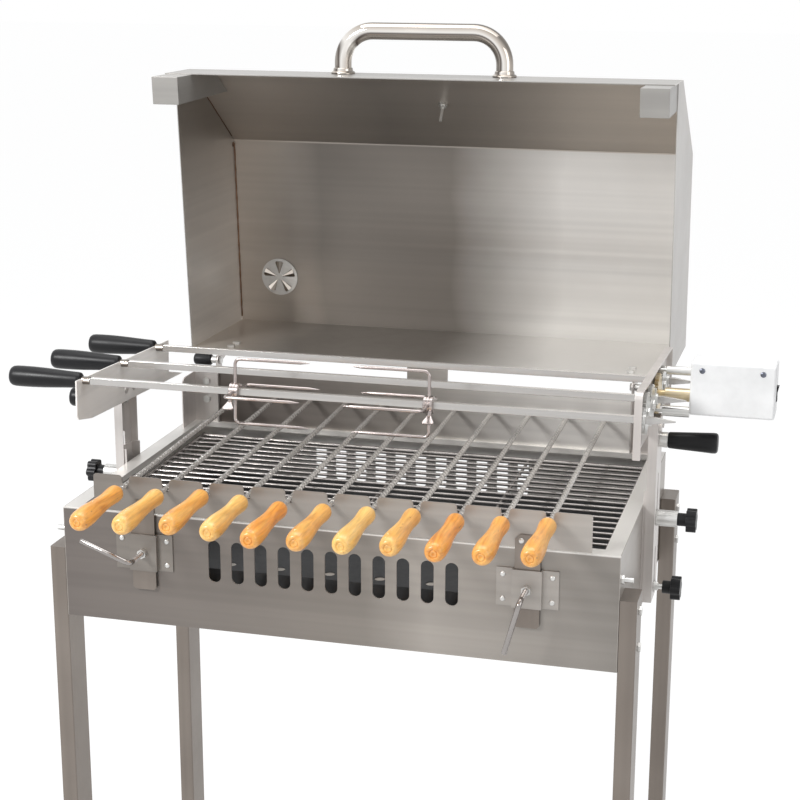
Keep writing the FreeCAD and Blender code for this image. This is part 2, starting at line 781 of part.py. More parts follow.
def star_knob(side, place):
    """A six lobed knob with a hub and a blind bore for its stud."""
    z = stud_z[place]
    start = column_web + knob_gap[place] + running_gap
    hub = rod(V(start, column_y, z), X_AXIS, knob_hub_radius, knob_hub_length + 1)
    disc = rod(V(start + knob_hub_length, column_y, z), X_AXIS, knob_head_radius - 0.6 * knob_lobe_radius,
               knob_head_length)
    lobes = []
    for index in range(knob_lobes):
        turn = math.radians(360 * index / knob_lobes)
        out = knob_head_radius - knob_lobe_radius
        centre = V(start + knob_hub_length, column_y + out * math.cos(turn), z + out * math.sin(turn))
        lobes.append(rod(centre, X_AXIS, knob_lobe_radius, knob_head_length))
    bore = rod(V(start - 1, column_y, z), X_AXIS, bolt_radius + bearing_gap, knob_hub_length + 4)
    return mirrored(hub.fuse([disc] + lobes).cut(bore).removeSplitter(), side)


def column_slide(side):
    """The sliding channel, with the bolts that carry the spit plate."""
    half = column_width / 2
    outline = bent_strip([(column_edge, column_y - half), (column_web, column_y - half),
                          (column_web, column_y + half), (column_edge, column_y + half)], column_sheet)
    channel = flat_prism(outline, column_bottom, column_top)
    tops = {"upper": upper_slot_top, "lower": stud_z["lower"] + lift_travel + slot_half}
    for place, z in stud_z.items():
        low = z
        high = tops[place] - slot_half
        cut = block(column_edge, column_web + 1, column_y - slot_half, column_y + slot_half, low, high)
        ends = [rod(V(column_edge, column_y, end), X_AXIS, slot_half, column_web) for end in (low, high)]
        channel = channel.cut([cut] + ends)
    stud_hole = rod(V(column_edge, column_y, lift_handle_z), X_AXIS, bolt_radius + thread_gap, column_web)
    channel = channel.cut(stud_hole)
    solids = [channel]
    inner = column_edge - plate_sheet
    for y, z in plate_bolt_places():
        hole = rod(V(column_edge, y, z), X_AXIS, bolt_radius + thread_gap, column_web)
        solids[0] = solids[0].cut(hole)
        solids.append(screw_bolt(V(inner, y, z), column_web - inner + bolt_head_height))
    return [mirrored(solid, side) for solid in solids]


def screw_bolt(place, length):
    head = lathe([(0, 0), (0, bolt_head_radius), (1.2, bolt_head_radius * 0.85), (2.4, bolt_head_radius * 0.4),
                  (2.4, 0)], place, X_AXIS * -1)
    nut = hexagon_rod(place + V(length - bolt_head_height, 0, 0), X_AXIS, bolt_head_radius, bolt_head_height)
    return rod(place, X_AXIS, bolt_radius, length).fuse([head, nut])


def plate_holes(shape):
    """Cuts the bolts' holes into a plate that still stands level."""
    inner = column_edge - plate_sheet
    return shape.cut([rod(V(inner - 1, column_y + part * column_width, plate_bolt_z), X_AXIS,
                          bolt_radius + thread_gap, plate_sheet + 2) for part in (-0.25, 0.25)])


def left_spit_plate():
    inner = column_edge - plate_sheet
    length, rise = left_plate_nose
    outline = [(left_plate_front, left_plate_bottom + rise),
               (left_plate_front + length / 8, left_plate_bottom + rise / 2),
               (left_plate_front + length, left_plate_bottom),
               (left_plate_rear + left_plate_tail, left_plate_bottom), (left_plate_rear, left_plate_bottom + rise),
               (left_plate_rear, left_plate_top), (left_plate_front, left_plate_top)]
    plate = side_prism(outline, inner, column_edge)
    radius = spit_collar_radius + bearing_gap
    for y in spit_ys:
        seat = rod(V(inner - 1, y, spit_z), X_AXIS, radius, plate_sheet + 2)
        mouth = side_prism([(y - radius, spit_z), (y + radius, spit_z), (y + radius * 1.3, left_plate_top + 1),
                            (y - radius * 1.3, left_plate_top + 1)], inner - 1, column_edge + 1)
        plate = plate.cut([seat, mouth])
    return mirrored(plate_holes(plate).removeSplitter(), SIDES["left"])


def gear_plate():
    """The right hand plate, with its edge turned outwards at the front, top and rear."""
    inner = column_edge - plate_sheet
    outer = column_edge + gear_plate_flange
    y0, y1, z0, z1 = gear_plate_front, gear_plate_rear, gear_plate_bottom, gear_plate_top
    body = block(inner, outer, y0, y1, z0, z1)
    edges = [edge for edge in body.Edges if edge.BoundBox.YLength < 1 and edge.BoundBox.ZLength < 1
             and edge.BoundBox.ZMin > z1 - 1]
    body = body.makeFillet(gear_plate_corner, edges)
    hollow = block(column_edge, outer + 1, y0 + plate_sheet, y1 - plate_sheet, z0 - 1, z1 - plate_sheet)
    edges = [edge for edge in hollow.Edges if edge.BoundBox.YLength < 1 and edge.BoundBox.ZLength < 1
             and edge.BoundBox.ZMin > z1 - plate_sheet - 1]
    hollow = hollow.makeFillet(gear_plate_corner - plate_sheet, edges)
    body = body.cut(hollow)
    radius = gear_hub_radius + bearing_gap
    cuts = [rod(V(inner - 1, y, spit_z), X_AXIS, radius, plate_sheet + 2) for y in spit_ys]
    return plate_holes(body.cut(cuts))


def lift_handle(side):
    start = V(column_web, column_y, lift_handle_z)
    radius = lift_handle_radius
    length = lift_handle_length
    profile = [(0, 0), (0, radius * 0.68), (2, radius * 0.74), (length * 0.15, radius * 0.8),
               (length - 4, radius), (length - 1, radius - 1.5), (length, radius - 4), (length, 0)]
    grip = lathe(profile, start, X_AXIS)
    web = column_web - column_sheet
    stud = rod(V(column_edge + 2, column_y, lift_handle_z), X_AXIS, bolt_radius, web - column_edge + length / 3)
    nut = hexagon_rod(V(web, column_y, lift_handle_z), X_AXIS * -1, bolt_head_radius, bolt_head_height)
    return mirrored(grip.fuse([stud, nut]), side)


def spit(y):
    """A pointed square bar with its collar, and its turned grip as a second solid."""
    half = spit_side / 2
    grip_face = -spit_grip_start
    bar = block(grip_face, spit_tip_x - spit_point, y - half, y + half, spit_z - half, spit_z + half)
    base = [V(spit_tip_x - spit_point, y + a * half, spit_z + b * half)
            for a, b in ((-1, -1), (1, -1), (1, 1), (-1, 1))]
    small = [V(spit_tip_x, y + a, spit_z + b) for a, b in ((-1, -1), (1, -1), (1, 1), (-1, 1))]
    point = Part.makeLoft([Part.makePolygon(base + [base[0]]), Part.makePolygon(small + [small[0]])],
                          True, True)
    collar_end = column_edge - plate_sheet - 12
    neck = block(grip_face - 1, -collar_end, y - spit_side, y + spit_side, spit_z - spit_side,
                 spit_z + spit_side)
    collar = rod(V(grip_face, y, spit_z), X_AXIS, spit_collar_radius, spit_grip_start - collar_end)
    bar = bar.cut(neck).fuse([collar, point]).removeSplitter()
    length = spit_grip_length
    profile = [(0, 0), (0, spit_grip_small * 0.8), (2, spit_grip_small), (length * 0.3, spit_grip_small * 1.14),
               (length * 0.62, spit_grip_large * 0.98), (length - 4, spit_grip_large),
               (length, spit_grip_large - 3), (length, 0)]
    return [bar, lathe(profile, V(grip_face, y, spit_z), X_AXIS * -1)]


def gear_outline(teeth, phase):
    """Involute teeth, thinned by the backlash, as (y, z) points about the gear's centre."""
    pitch = gear_module * teeth / 2
    base = pitch * math.cos(math.radians(pressure_angle))
    tip = pitch + gear_module
    root = pitch - 1.25 * gear_module
    involute_at_pitch = math.tan(math.radians(pressure_angle)) - math.radians(pressure_angle)
    half_tooth = math.pi / (2 * teeth) - gear_backlash / (2 * pitch)
    flank = [(root, 0.0)] if root < base else []
    steps = 3
    for step in range(steps + 1):
        radius = max(base, root) + (tip - max(base, root)) * step / steps
        angle = math.acos(base / radius)
        flank.append((radius, math.tan(angle) - angle))
    points = []
    for tooth in range(teeth):
        centre = 2 * math.pi * (tooth + phase) / teeth
        for radius, roll in flank:
            points.append((radius, centre - half_tooth - involute_at_pitch + roll))
        for radius, roll in reversed(flank):
            points.append((radius, centre + half_tooth + involute_at_pitch - roll))
    return [(radius * math.cos(angle), radius * math.sin(angle)) for radius, angle in points]


def gear_teeth(index):
    return idler_gear_teeth if index % gears_per_spacing else spit_gear_teeth


def gear_y(index):
    """The gear's place: the first is on the front spit, and each one meshes with the one before."""
    steps = [gear_module * (gear_teeth(item) + gear_teeth(item + 1)) / 2 for item in range(index)]
    return spit_first_y + sum(steps)


def gear_x():
    return column_edge + gear_plate_gap


def gear_blank(index):
    y = gear_y(index)
    phase = 0.5 * (index % 2)
    points = [V(gear_x(), y + dy, spit_z + dz) for dy, dz in gear_outline(gear_teeth(index), phase)]
    return prism(points, X_AXIS, gear_face), y


def spit_gear(index):
    blank, y = gear_blank(index)
    inner = column_edge - plate_sheet - 1
    hub = rod(V(inner, y, spit_z), X_AXIS, gear_hub_radius, gear_x() + gear_face + 3 - inner)
    half = spit_side / 2 + thread_gap
    bore = block(inner - 1, gear_x() + gear_face + 4, y - half, y + half, spit_z - half, spit_z + half)
    return blank.fuse(hub).cut(bore)


def idler_gear(index):
    blank, y = gear_blank(index)
    bore = rod(V(gear_x() - 1, y, spit_z), X_AXIS, gear_pin_radius + bearing_gap, gear_face + 2)
    return blank.cut(bore)


def drive_gear():
    """The gear on the motor's output shaft, with the shaft and its coupling as a second solid."""
    blank, y = gear_blank(drive_gear_index)
    bore = rod(V(gear_x() - 1, y, spit_z), X_AXIS, motor_shaft_radius + thread_gap, gear_face + 2)
    start = column_edge + running_gap
    shaft = rod(V(start, y, spit_z), X_AXIS, motor_shaft_radius, motor_face + 8 - start)
    coupling_start = gear_x() + gear_face + 3 * gear_head_height
    coupling = rod(V(coupling_start, y, spit_z), X_AXIS, motor_coupling_radius,
                   motor_face - running_gap - coupling_start)
    return [blank.cut(bore), shaft.fuse(coupling)]


def gear_plate_studs():
    """The pins of the idler gears, and the bolts and sleeves that hold the motor box off the plate."""
    pieces = []
    for index in idler_indices():
        y = gear_y(index)
        shoulder = rod(V(column_edge, y, spit_z), X_AXIS, gear_pin_radius + 2, gear_plate_gap - running_gap)
        pin = rod(V(column_edge, y, spit_z), X_AXIS, gear_pin_radius, gear_plate_gap + gear_face + running_gap)
        head = hexagon_rod(V(gear_x() + gear_face + running_gap, y, spit_z), X_AXIS, gear_pin_radius + 3,
                           gear_head_height)
        pieces.append(pin.fuse([shoulder, head]))
    sleeve_start = gear_x() + gear_face + 3 * gear_head_height
    for y, z, radius in motor_bolts:
        shank = rod(V(column_edge, y, z), X_AXIS, motor_bolt_radius, motor_stand_off)
        sleeve = rod(V(sleeve_start, y, z), X_AXIS, radius, motor_face - sleeve_start)
        pieces.append(shank.fuse(sleeve))
    return pieces


def idler_indices():
    spits = [gears_per_spacing * index for index in range(3)]
    last = spits[-1]
    return [index for index in range(last + 1) if index not in spits and index != drive_gear_index]


def motor_box():
    x1 = motor_face + motor_length
    shape = block(motor_face, x1, motor_front, motor_front + motor_deep, motor_bottom,
                  motor_bottom + motor_tall)
    shape = shape.makeFillet(motor_edge, shape.Edges)
    y = gear_y(drive_gear_index)
    bore = rod(V(motor_face - 1, y, spit_z), X_AXIS, motor_shaft_radius + bearing_gap, 10)
    pocket_y = motor_front + motor_deep / 2
    pocket = block(x1 - 8, x1 + 1, pocket_y - rocker_width / 2, pocket_y + rocker_width / 2,
                   rocker_z - rocker_tall / 2, rocker_z + rocker_tall / 2)
    pivot_holes = rod(V(x1 - rocker_rise, pocket_y - rocker_width / 2 - 2, rocker_z), Y_AXIS, 1.5 + thread_gap,
                      rocker_width + 4)
    return shape.cut([bore, pocket, pivot_holes])


def rocker_switch():
    """A rocker with two slopes, pivoting on trunnions in the end of the motor box."""
    x1 = motor_face + motor_length
    y = motor_front + motor_deep / 2
    half = rocker_tall / 2 - 1.2
    tilt = half * math.tan(math.radians(rocker_angle))
    outline = [(x1 - 5.5, rocker_z - half * 0.5), (x1 + 0.5 - tilt, rocker_z - half),
               (x1 + rocker_rise * 0.4, rocker_z - half), (x1 + 1, rocker_z), (x1 + rocker_rise, rocker_z + half),
               (x1 - 1, rocker_z + half), (x1 - 5.5, rocker_z + half * 0.5)]
    width = rocker_width - 2 * running_gap
    body = prism([V(x, y - width / 2, z) for x, z in outline], Y_AXIS, width)
    trunnion = rod(V(x1 - rocker_rise, y - rocker_width / 2 - 1.5, rocker_z), Y_AXIS, 1.5, rocker_width + 3)
    return body.fuse(trunnion)


def fork(side_name):
    """A hub with four bent prongs, and its thumb screw as a second solid."""
    side = SIDES[side_name]
    x = fork_x[side_name]
    y = spit_first_y
    forward = -side
    half = spit_side / 2 + 0.2
    hub = rod(V(x - fork_hub_length / 2, y, spit_z), X_AXIS, fork_hub_radius, fork_hub_length)
    prongs = []
    for quarter in range(4):
        start = V(x, y, spit_z + fork_hub_radius - 3)
        corner = V(x, y, spit_z + fork_reach - fork_bend)
        middle = corner + V(forward * fork_bend * (1 - math.cos(math.radians(45))), 0,
                            fork_bend * math.sin(math.radians(45)))
        turned = corner + V(forward * fork_bend, 0, fork_bend)
        end = turned + V(forward * (fork_prong - fork_bend), 0, 0)
        path = Part.Wire([Part.makeLine(start, corner), Part.Arc(corner, middle, turned).toShape(),
                          Part.makeLine(turned, end)])
        ring = Part.Wire([Part.makeCircle(fork_wire_radius, start, Z_AXIS)])
        prong = path.makePipeShell([ring], True, False)
        tip = lathe([(0, 0), (0, fork_wire_radius), (fork_point, 0.4), (fork_point, 0)], end,
                    V(forward, 0, 0))
        prong = prong.fuse(tip)
        prongs.append(prong.rotate(V(x, y, spit_z), X_AXIS, 90 * quarter))
    bore = block(x - fork_hub_length, x + fork_hub_length, y - half, y + half, spit_z - half, spit_z + half)
    shape = hub.fuse(prongs).cut(bore)
    direction = V(0, -math.sin(math.radians(45)), -math.cos(math.radians(45)))
    centre = V(x - forward * fork_hub_length / 4, y, spit_z)
    start = centre + direction * (spit_side * math.sqrt(0.5) + running_gap)
    thread_hole = rod(start, direction, thumb_screw_radius + thread_gap, fork_hub_radius)
    thumb = rod(start, direction, thumb_screw_radius, thumb_screw_length)
    wing_start = centre + direction * (fork_hub_radius + 6)
    across = V(1, 0, 0)
    wing = prism([wing_start + across * a + direction * b + direction.cross(across) * 1.5
                  for a, b in ((-3, 0), (3, 0), (9, 12), (5, 15), (-5, 15), (-9, 12))],
                 direction.cross(across) * -1, 3)
    return [shape.cut(thread_hole), thumb.fuse(wing)]


def hood_point(s, h, x=0.0):
    """A point of the closed hood, with its rear lip at the origin."""
    return V(x, -s, h)


def panel_a_height(s):
    """Height of the inner face of the slanted front panel."""
    run = hood_front_s - hood_roof_front[0]
    drop = hood_roof_front[1] - hood_front_top
    slope = drop / run
    return hood_front_top + (hood_front_s - s) * slope - hood_sheet * math.hypot(1, slope)


def front_strip_s(h):
    """How far forward the front strip's outer face stands at height h; it leans out downwards."""
    share = (hood_front_top - h) / (hood_front_top - hood_front_bottom)
    return hood_front_s + share * hood_front_lean


def front_strip_normal():
    height = hood_front_top - hood_front_bottom
    size = math.hypot(height, hood_front_lean)
    return V(0, -height / size, hood_front_lean / size)


def hood_shell():
    line = [(0, 0), hood_roof_rear, hood_roof_front, (hood_front_s, hood_front_top),
            (front_strip_s(hood_front_bottom), hood_front_bottom)]
    outline = bent_strip([(-s, h) for s, h in line], hood_sheet)
    skin = side_prism(outline, -half_width, half_width)
    wall_line = line[:-1] + [(front_strip_s(0), 0)]
    shape = skin
    for side in SIDES.values():
        x0 = side * half_width
        wall = side_prism([(-s, h) for s, h in wall_line], x0 - side * hood_sheet, x0)
        shape = shape.fuse(wall)
    cuts = vent_openings(hood_roof_rear[1] - 20, 60, 0)
    cuts.append(rod(V(vent_x, -vent_s, 200), Z_AXIS, bolt_radius + bearing_gap, 100))
    gauge = hood_point(gauge_s, panel_a_height(gauge_s), gauge_x)
    cuts.append(rod(gauge - panel_a_normal() * 5, panel_a_normal(), probe_radius + 2 + thread_gap, 10))
    places, normal = leaf_bolt_places()
    cuts += [rod(place - normal * 5, normal, bolt_radius + thread_gap, 10) for place in places]
    return shape.cut(cuts).removeSplitter()


def vent_openings(z, height, shift):
    """Windows round the vent's rivet; a shift of half a spoke puts them over the sheet between."""
    cuts = []
    for index in range(vent_spokes):
        turn = 2 * math.pi * (index + 0.25 + shift) / vent_spokes
        half = math.radians(vent_window_deg)
        inner, outer = 0.3 * vent_radius, 0.84 * vent_radius
        corners = [(inner, turn - half * 0.5), (outer, turn - half), (outer, turn + half),
                   (inner, turn + half * 0.5)]
        points = [V(vent_x + r * math.cos(a), -vent_s + r * math.sin(a), z) for r, a in corners]
        cuts.append(prism(points, Z_AXIS, height))
    return cuts


def panel_a_normal():
    run = hood_front_s - hood_roof_front[0]
    drop = hood_roof_front[1] - hood_front_top
    size = math.hypot(run, drop)
    return V(0, -drop / size, run / size)


def hood_feet():
    """Square tubes inside the front corners, which lean with the front strip."""
    feet = []
    t = hood_sheet
    out = front_strip_s(hood_foot_bottom) - hood_front_s
    for side in SIDES.values():
        s1 = hood_front_s - t / abs(front_strip_normal().y)
        s0 = s1 - hood_foot_side
        outline = [(s0 + out, hood_foot_bottom), (s1 + out, hood_foot_bottom), (s1, panel_a_height(s1)),
                   (s0, panel_a_height(s0))]
        inner = [(s0 + out + t, hood_foot_bottom + t), (s1 + out - t, hood_foot_bottom + t),
                 (s1 - t, panel_a_height(s1 - t) - t * 2), (s0 + t, panel_a_height(s0 + t) - t * 2)]
        x1 = half_width - t
        x0 = x1 - hood_foot_side
        solid = side_prism([(-s, h) for s, h in outline], x0, x1)
        solid = solid.cut(side_prism([(-s, h) for s, h in inner], x0 + t, x1 - t))
        feet.append(mirrored(solid, side))
    return feet


def hood_handle():
    """A tube arch on two turned collars, standing on the hood's front panel."""
    half, reach, bend = hood_handle_half, hood_handle_reach, hood_handle_bend
    base = hood_point(front_strip_s(hood_handle_h), hood_handle_h)
    out = front_strip_normal()
    diagonal = math.sin(math.radians(45))
    points = []
    for side in (-1, 1):
        foot = base + V(side * half, 0, 0)
        corner = foot + out * (reach - bend)
        middle = corner + out * (bend * diagonal) + V(-side * bend * (1 - diagonal), 0, 0)
        end = foot + out * reach + V(-side * bend, 0, 0)
        points.append((foot, corner, middle, end))
    (foot, corner, middle, end), (foot2, corner2, middle2, end2) = points
    path = Part.Wire([Part.makeLine(foot, corner), Part.Arc(corner, middle, end).toShape(),
                      Part.makeLine(end, end2), Part.Arc(end2, middle2, corner2).toShape(),
                      Part.makeLine(corner2, foot2)])
    ring = Part.Wire([Part.makeCircle(hood_handle_radius, foot, out)])
    tube = path.makePipeShell([ring], True, False)
    collar_profile = [(0, 0), (0, hood_collar_radius), (hood_collar_height * 0.5, hood_collar_radius),
                      (hood_collar_height, hood_handle_radius + 1.5),
                      (hood_collar_height * 2, hood_handle_radius + 1.5), (hood_collar_height * 2, 0)]
    collars = [lathe(collar_profile, place, out) for place in (foot, foot2)]
    return tube.fuse(collars)


def thermometer():
    """A dial in a bezel outside the slanted panel, with its stem, nut and probe inside."""
    normal = panel_a_normal()
    inner = hood_point(gauge_s, panel_a_height(gauge_s), gauge_x)
    outer = inner + normal * hood_sheet
    profile = [(0, 0), (0, gauge_radius * 0.75), (gauge_depth * 0.35, gauge_radius * 0.8),
               (gauge_depth * 0.5, gauge_radius), (gauge_depth - 1, gauge_radius),
               (gauge_depth, gauge_radius - 2), (gauge_depth - 1.5, gauge_radius - 3.5), (gauge_depth - 1.5, 0)]
    dial = lathe(profile, outer, normal)
    stem = rod(outer, normal * -1, probe_radius + 2, hood_sheet + 9)
    probe = rod(outer, normal * -1, probe_radius, hood_sheet + probe_length)
    nut = hexagon_rod(inner, normal * -1, bolt_head_radius + 1, bolt_head_height + 1)
    return dial.fuse([stem, probe, nut])


def vent_disc():
    """The damper disc under the roof panel and its knob above, on one rivet."""
    slope = (hood_roof_front[1] - hood_roof_rear[1]) / (hood_roof_front[0] - hood_roof_rear[0])
    roof = hood_roof_rear[1] + (vent_s - hood_roof_rear[0]) * slope
    low_end = slope * vent_radius
    top = roof - hood_sheet - running_gap - low_end
    disc = rod(V(vent_x, -vent_s, top - vent_sheet), Z_AXIS, vent_radius, vent_sheet)
    disc = disc.cut(vent_openings(top - vent_sheet - 1, vent_sheet + 2, vent_shut_turn))
    start = V(vent_x, -vent_s, top - vent_sheet - 1.5)
    rivet = rod(start, Z_AXIS, bolt_radius, 20)
    rivet_head = rod(start, Z_AXIS, bolt_radius + 3, 1.5)
    knob = rod(V(vent_x, -vent_s, roof + low_end + running_gap), Z_AXIS, vent_knob_radius, 12)
    return disc.fuse([rivet, rivet_head, knob])


def hinge_in_closed_hood():
    """The hinge's y and height in the frame of the closed hood."""
    turn = math.radians(90 - hood_lean)
    y, z = hinge_y - hood_lip_y, hinge_z - hood_lip_z
    return y * math.cos(turn) - z * math.sin(turn), y * math.sin(turn) + z * math.cos(turn)


def rear_wall_y(h):
    """The outer face of the hood's rear wall at height h."""
    return -hood_roof_rear[0] / hood_roof_rear[1] * h


def leaf_bolt_places():
    """Where the leaves are bolted to the rear wall, and the wall's outward normal."""
    x = post_inner() + post_sheet - leaf_flange / 2
    places = [V(side * x, rear_wall_y(leaf_reach * part), leaf_reach * part)
              for side in SIDES.values() for part in leaf_bolt_reaches]
    size = math.hypot(1, rear_wall_y(1))
    return places, V(0, 1 / size, -rear_wall_y(1) / size)


def hood_leaf(side):
    """The moving leaf of the hinge: an eye plate with a flange on the hood's rear wall."""
    x0 = post_inner() + post_sheet + running_gap
    y, h = hinge_in_closed_hood()
    eye = ear_radius - 2
    top = rear_wall_y(leaf_reach)
    outline = [(y - eye, h - eye), (y + eye, h - eye), (y + eye, h), (top + 2 * leaf_sheet, leaf_reach),
               (top, leaf_reach), (rear_wall_y(1), 1), (y - eye, h + eye / 2)]
    plate = side_prism(outline, x0, x0 + leaf_sheet)
    hole = rod(V(x0 - 1, y, h), X_AXIS, hinge_pin_radius + bearing_gap, leaf_sheet + 2)
    flange = side_prism([(rear_wall_y(2), 2), (top, leaf_reach), (top + leaf_sheet, leaf_reach),
                         (rear_wall_y(2) + leaf_sheet, 2)], x0 - leaf_flange, x0 + leaf_sheet)
    shape = mirrored(plate.cut(hole).fuse(flange), side)
    places, normal = leaf_bolt_places()
    return shape.cut([rod(place - normal * 5, normal, bolt_radius + thread_gap, 15) for place in places])


def hood_bolts():
    places, normal = leaf_bolt_places()
    pieces = []
    for place in places:
        head = place - normal * hood_sheet
        nut = hexagon_rod(place + normal * leaf_sheet, normal, bolt_head_radius, bolt_head_height)
        pieces.append(bolt(head, normal * -1, hood_sheet + leaf_sheet + bolt_head_height).fuse(nut))
    return pieces


def open_hood(shape):
    """Turns a piece of the closed hood to its open rest on the hinge."""
    turned = shape.rotate(ORIGIN, X_AXIS, -(90 - hood_lean))
    return turned.translate(V(0, hood_lip_y, hood_lip_z))


def build_nodes():
    nodes["firebox"] = [firebox()]
    nodes["charcoal_tray"] = [charcoal_tray()]
    nodes["cooking_grate"] = [cooking_grate()]
    nodes["legs"] = [leg(side, y0) for side in SIDES.values() for y0 in leg_ys().values()]
    nodes["foot_caps"] = [foot_cap(side, y0) for side in SIDES.values() for y0 in leg_ys().values()]
    nodes["frame_bolts"] = frame_bolts()
    nodes["guide_brackets"] = [guide_bracket(side) for side in SIDES.values()]
    nodes["column_guides"] = [column_guide(side) for side in SIDES.values()]
    nodes["column_studs"] = [piece for side in SIDES.values() for piece in column_studs(side)]
    nodes["rear_posts"] = [rear_post(side) for side in SIDES.values()]
    nodes["rear_plate"] = [rear_plate()]
    nodes["hinge_pins"] = [hinge_pin(side) for side in SIDES.values()]
    nodes["skewer_rest"] = [skewer_rest()]
    nodes["rest_tongues"] = [rest_tongue(side) for side in SIDES.values()]
    nodes["tongue_screws"] = tongue_screws()
    for name, side in SIDES.items():
        nodes[f"clamp_screw_{name}"] = [clamp_screw(name)]
        nodes[f"knob_upper_{name}"] = [star_knob(side, "upper")]
        nodes[f"knob_lower_{name}"] = [star_knob(side, "lower")]
        nodes[f"slide_{name}"] = column_slide(side)
        nodes[f"lift_handle_{name}"] = [lift_handle(side)]
        nodes[f"fork_{name}"] = leaning(fork(name))
    nodes["spit_plate_left"] = leaning([left_spit_plate()])
    nodes["gear_plate"] = leaning([gear_plate()])
    nodes["gear_plate_studs"] = leaning(gear_plate_studs())
    nodes["motor_box"] = leaning([motor_box()])
    nodes["rocker_switch"] = leaning([rocker_switch()])
    nodes["drive_gear"] = leaning(drive_gear())
    for number, index in enumerate(idler_indices(), 1):
        nodes[f"idler_gear_{number}"] = leaning([idler_gear(index)])
    for name, index in zip(("front", "middle", "rear"), range(3)):
        nodes[f"spit_{name}"] = leaning(spit(spit_ys[index]))
        nodes[f"spit_gear_{name}"] = leaning([spit_gear(gears_per_spacing * index)])
    for index, (x, push) in enumerate(zip(skewer_xs, skewer_pushes), 1):
        nodes[f"skewer_{index:02d}"] = skewer(x, push)
    nodes["hood_shell"] = [open_hood(hood_shell())]
    nodes["hood_feet"] = [open_hood(foot) for foot in hood_feet()]
    nodes["hood_handle"] = [open_hood(hood_handle())]
    nodes["thermometer"] = [open_hood(thermometer())]
    nodes["vent_disc"] = [open_hood(vent_disc())]
    nodes["hood_leaves"] = [open_hood(hood_leaf(side)) for side in SIDES.values()]
    nodes["hood_bolts"] = [open_hood(piece) for piece in hood_bolts()]


def write_parts():
    """Moves the origin to the middle of the underside and writes one file for each node."""
    os.makedirs("parts", exist_ok=True)
    shapes = {name: Part.makeCompound(solids) for name, solids in nodes.items()}
    whole = Part.makeCompound(list(shapes.values())).BoundBox
    shift = V(-(whole.XMin + whole.XMax) / 2, -(whole.YMin + whole.YMax) / 2, -whole.ZMin)
    for name, shape in shapes.items():
        shape.translate(shift)
        shape.exportStep(f"parts/{name}.step")
    print("origin moved by", [round(value, 4) for value in shift])
    print("overall size", [round(value, 1) for value in (whole.XLength, whole.YLength, whole.ZLength)])


build_nodes()
write_parts()
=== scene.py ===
import json
import math

import bpy
from mathutils import Matrix, Vector


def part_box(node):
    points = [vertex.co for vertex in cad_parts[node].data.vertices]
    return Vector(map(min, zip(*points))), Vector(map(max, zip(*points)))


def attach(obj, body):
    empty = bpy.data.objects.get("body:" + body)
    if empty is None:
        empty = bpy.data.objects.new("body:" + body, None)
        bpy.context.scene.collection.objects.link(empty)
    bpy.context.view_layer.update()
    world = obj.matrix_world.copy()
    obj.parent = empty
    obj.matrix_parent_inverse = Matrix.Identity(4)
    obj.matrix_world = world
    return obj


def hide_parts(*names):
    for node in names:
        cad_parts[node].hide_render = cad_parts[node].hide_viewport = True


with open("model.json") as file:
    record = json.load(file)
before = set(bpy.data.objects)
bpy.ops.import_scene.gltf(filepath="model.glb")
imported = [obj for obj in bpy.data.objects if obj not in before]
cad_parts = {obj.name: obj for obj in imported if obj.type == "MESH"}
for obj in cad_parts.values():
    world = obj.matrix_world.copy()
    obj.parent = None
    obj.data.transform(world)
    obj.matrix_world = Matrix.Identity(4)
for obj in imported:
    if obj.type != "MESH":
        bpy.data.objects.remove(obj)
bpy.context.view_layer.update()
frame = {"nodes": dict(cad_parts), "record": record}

RECORD = frame["record"]
NODE_BODY = {node: body for body, nodes in RECORD["behaviour"]["bodies"].items() for node in nodes}
BOX_LOW, BOX_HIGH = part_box("firebox")
RIM_FRONT = Vector(((BOX_LOW.x + BOX_HIGH.x) / 2, BOX_LOW.y, BOX_HIGH.z))

# Places on the grill in millimetres, from the middle of the fire box's front rim
BOX_DEPTH = 530.0
COLUMN_Y = BOX_DEPTH / 2
PLATE_BOLT_Z = 119.0
PLATE_LEAN = math.radians(2.6)
SPIT_YS = {"front": 91.0, "middle": 235.0, "rear": 379.0}
SPIT_Z = 165.0
SKEWER_LEAN = math.radians(1.2)
# How far each skewer is pushed in, from the left
SKEWER_PUSHES = (-6, -6, 9, 0, -13, -7, -3, 6, 1, 5, 15)
HOOD_LEAN = math.radians(90 - 4.8)
HOOD_LIP = (533.0, 125.0)
ROOF_H = 253.8
ROOF_SLOPE = 6 / 346
SLANT_FOOT = (480.0, 67.0)
SLANT_DROP, SLANT_RUN = 195.0, 158.0
SKEWER_STEP = 63.6
SKEWER_MIDDLE = 2.0
SKEWER_LEVEL = 43.0
REST_NOTCH_Y = -1.5
# Each wooden handle's tone, from amber at 0 to honey at 1
HANDLE_TONES = (0.2, 0.7, 0.25, 0.8, 0.0, 0.4, 0.9, 0.5, 0.0, 0.2, 0.25)
SIDES = {"left": -1, "right": 1}


def at(x, y, z):
    """A place in millimetres from the middle of the fire box's front rim."""
    return RIM_FRONT + Vector((x, y, z)) / 1000


def leaning(x, y, z):
    """A place on the spit plates, which sag towards the rear about their bolts."""
    dy, dz = y - COLUMN_Y, z - PLATE_BOLT_Z
    turn = PLATE_LEAN
    return at(x, COLUMN_Y + dy * math.cos(turn) + dz * math.sin(turn),
              PLATE_BOLT_Z - dy * math.sin(turn) + dz * math.cos(turn))


def along_skewer(x, y):
    """A place on a skewer's axis, given as it would lie level."""
    reach = y - REST_NOTCH_Y
    return at(x, reach * math.cos(SKEWER_LEAN) + REST_NOTCH_Y,
              SKEWER_LEVEL + reach * math.sin(SKEWER_LEAN))


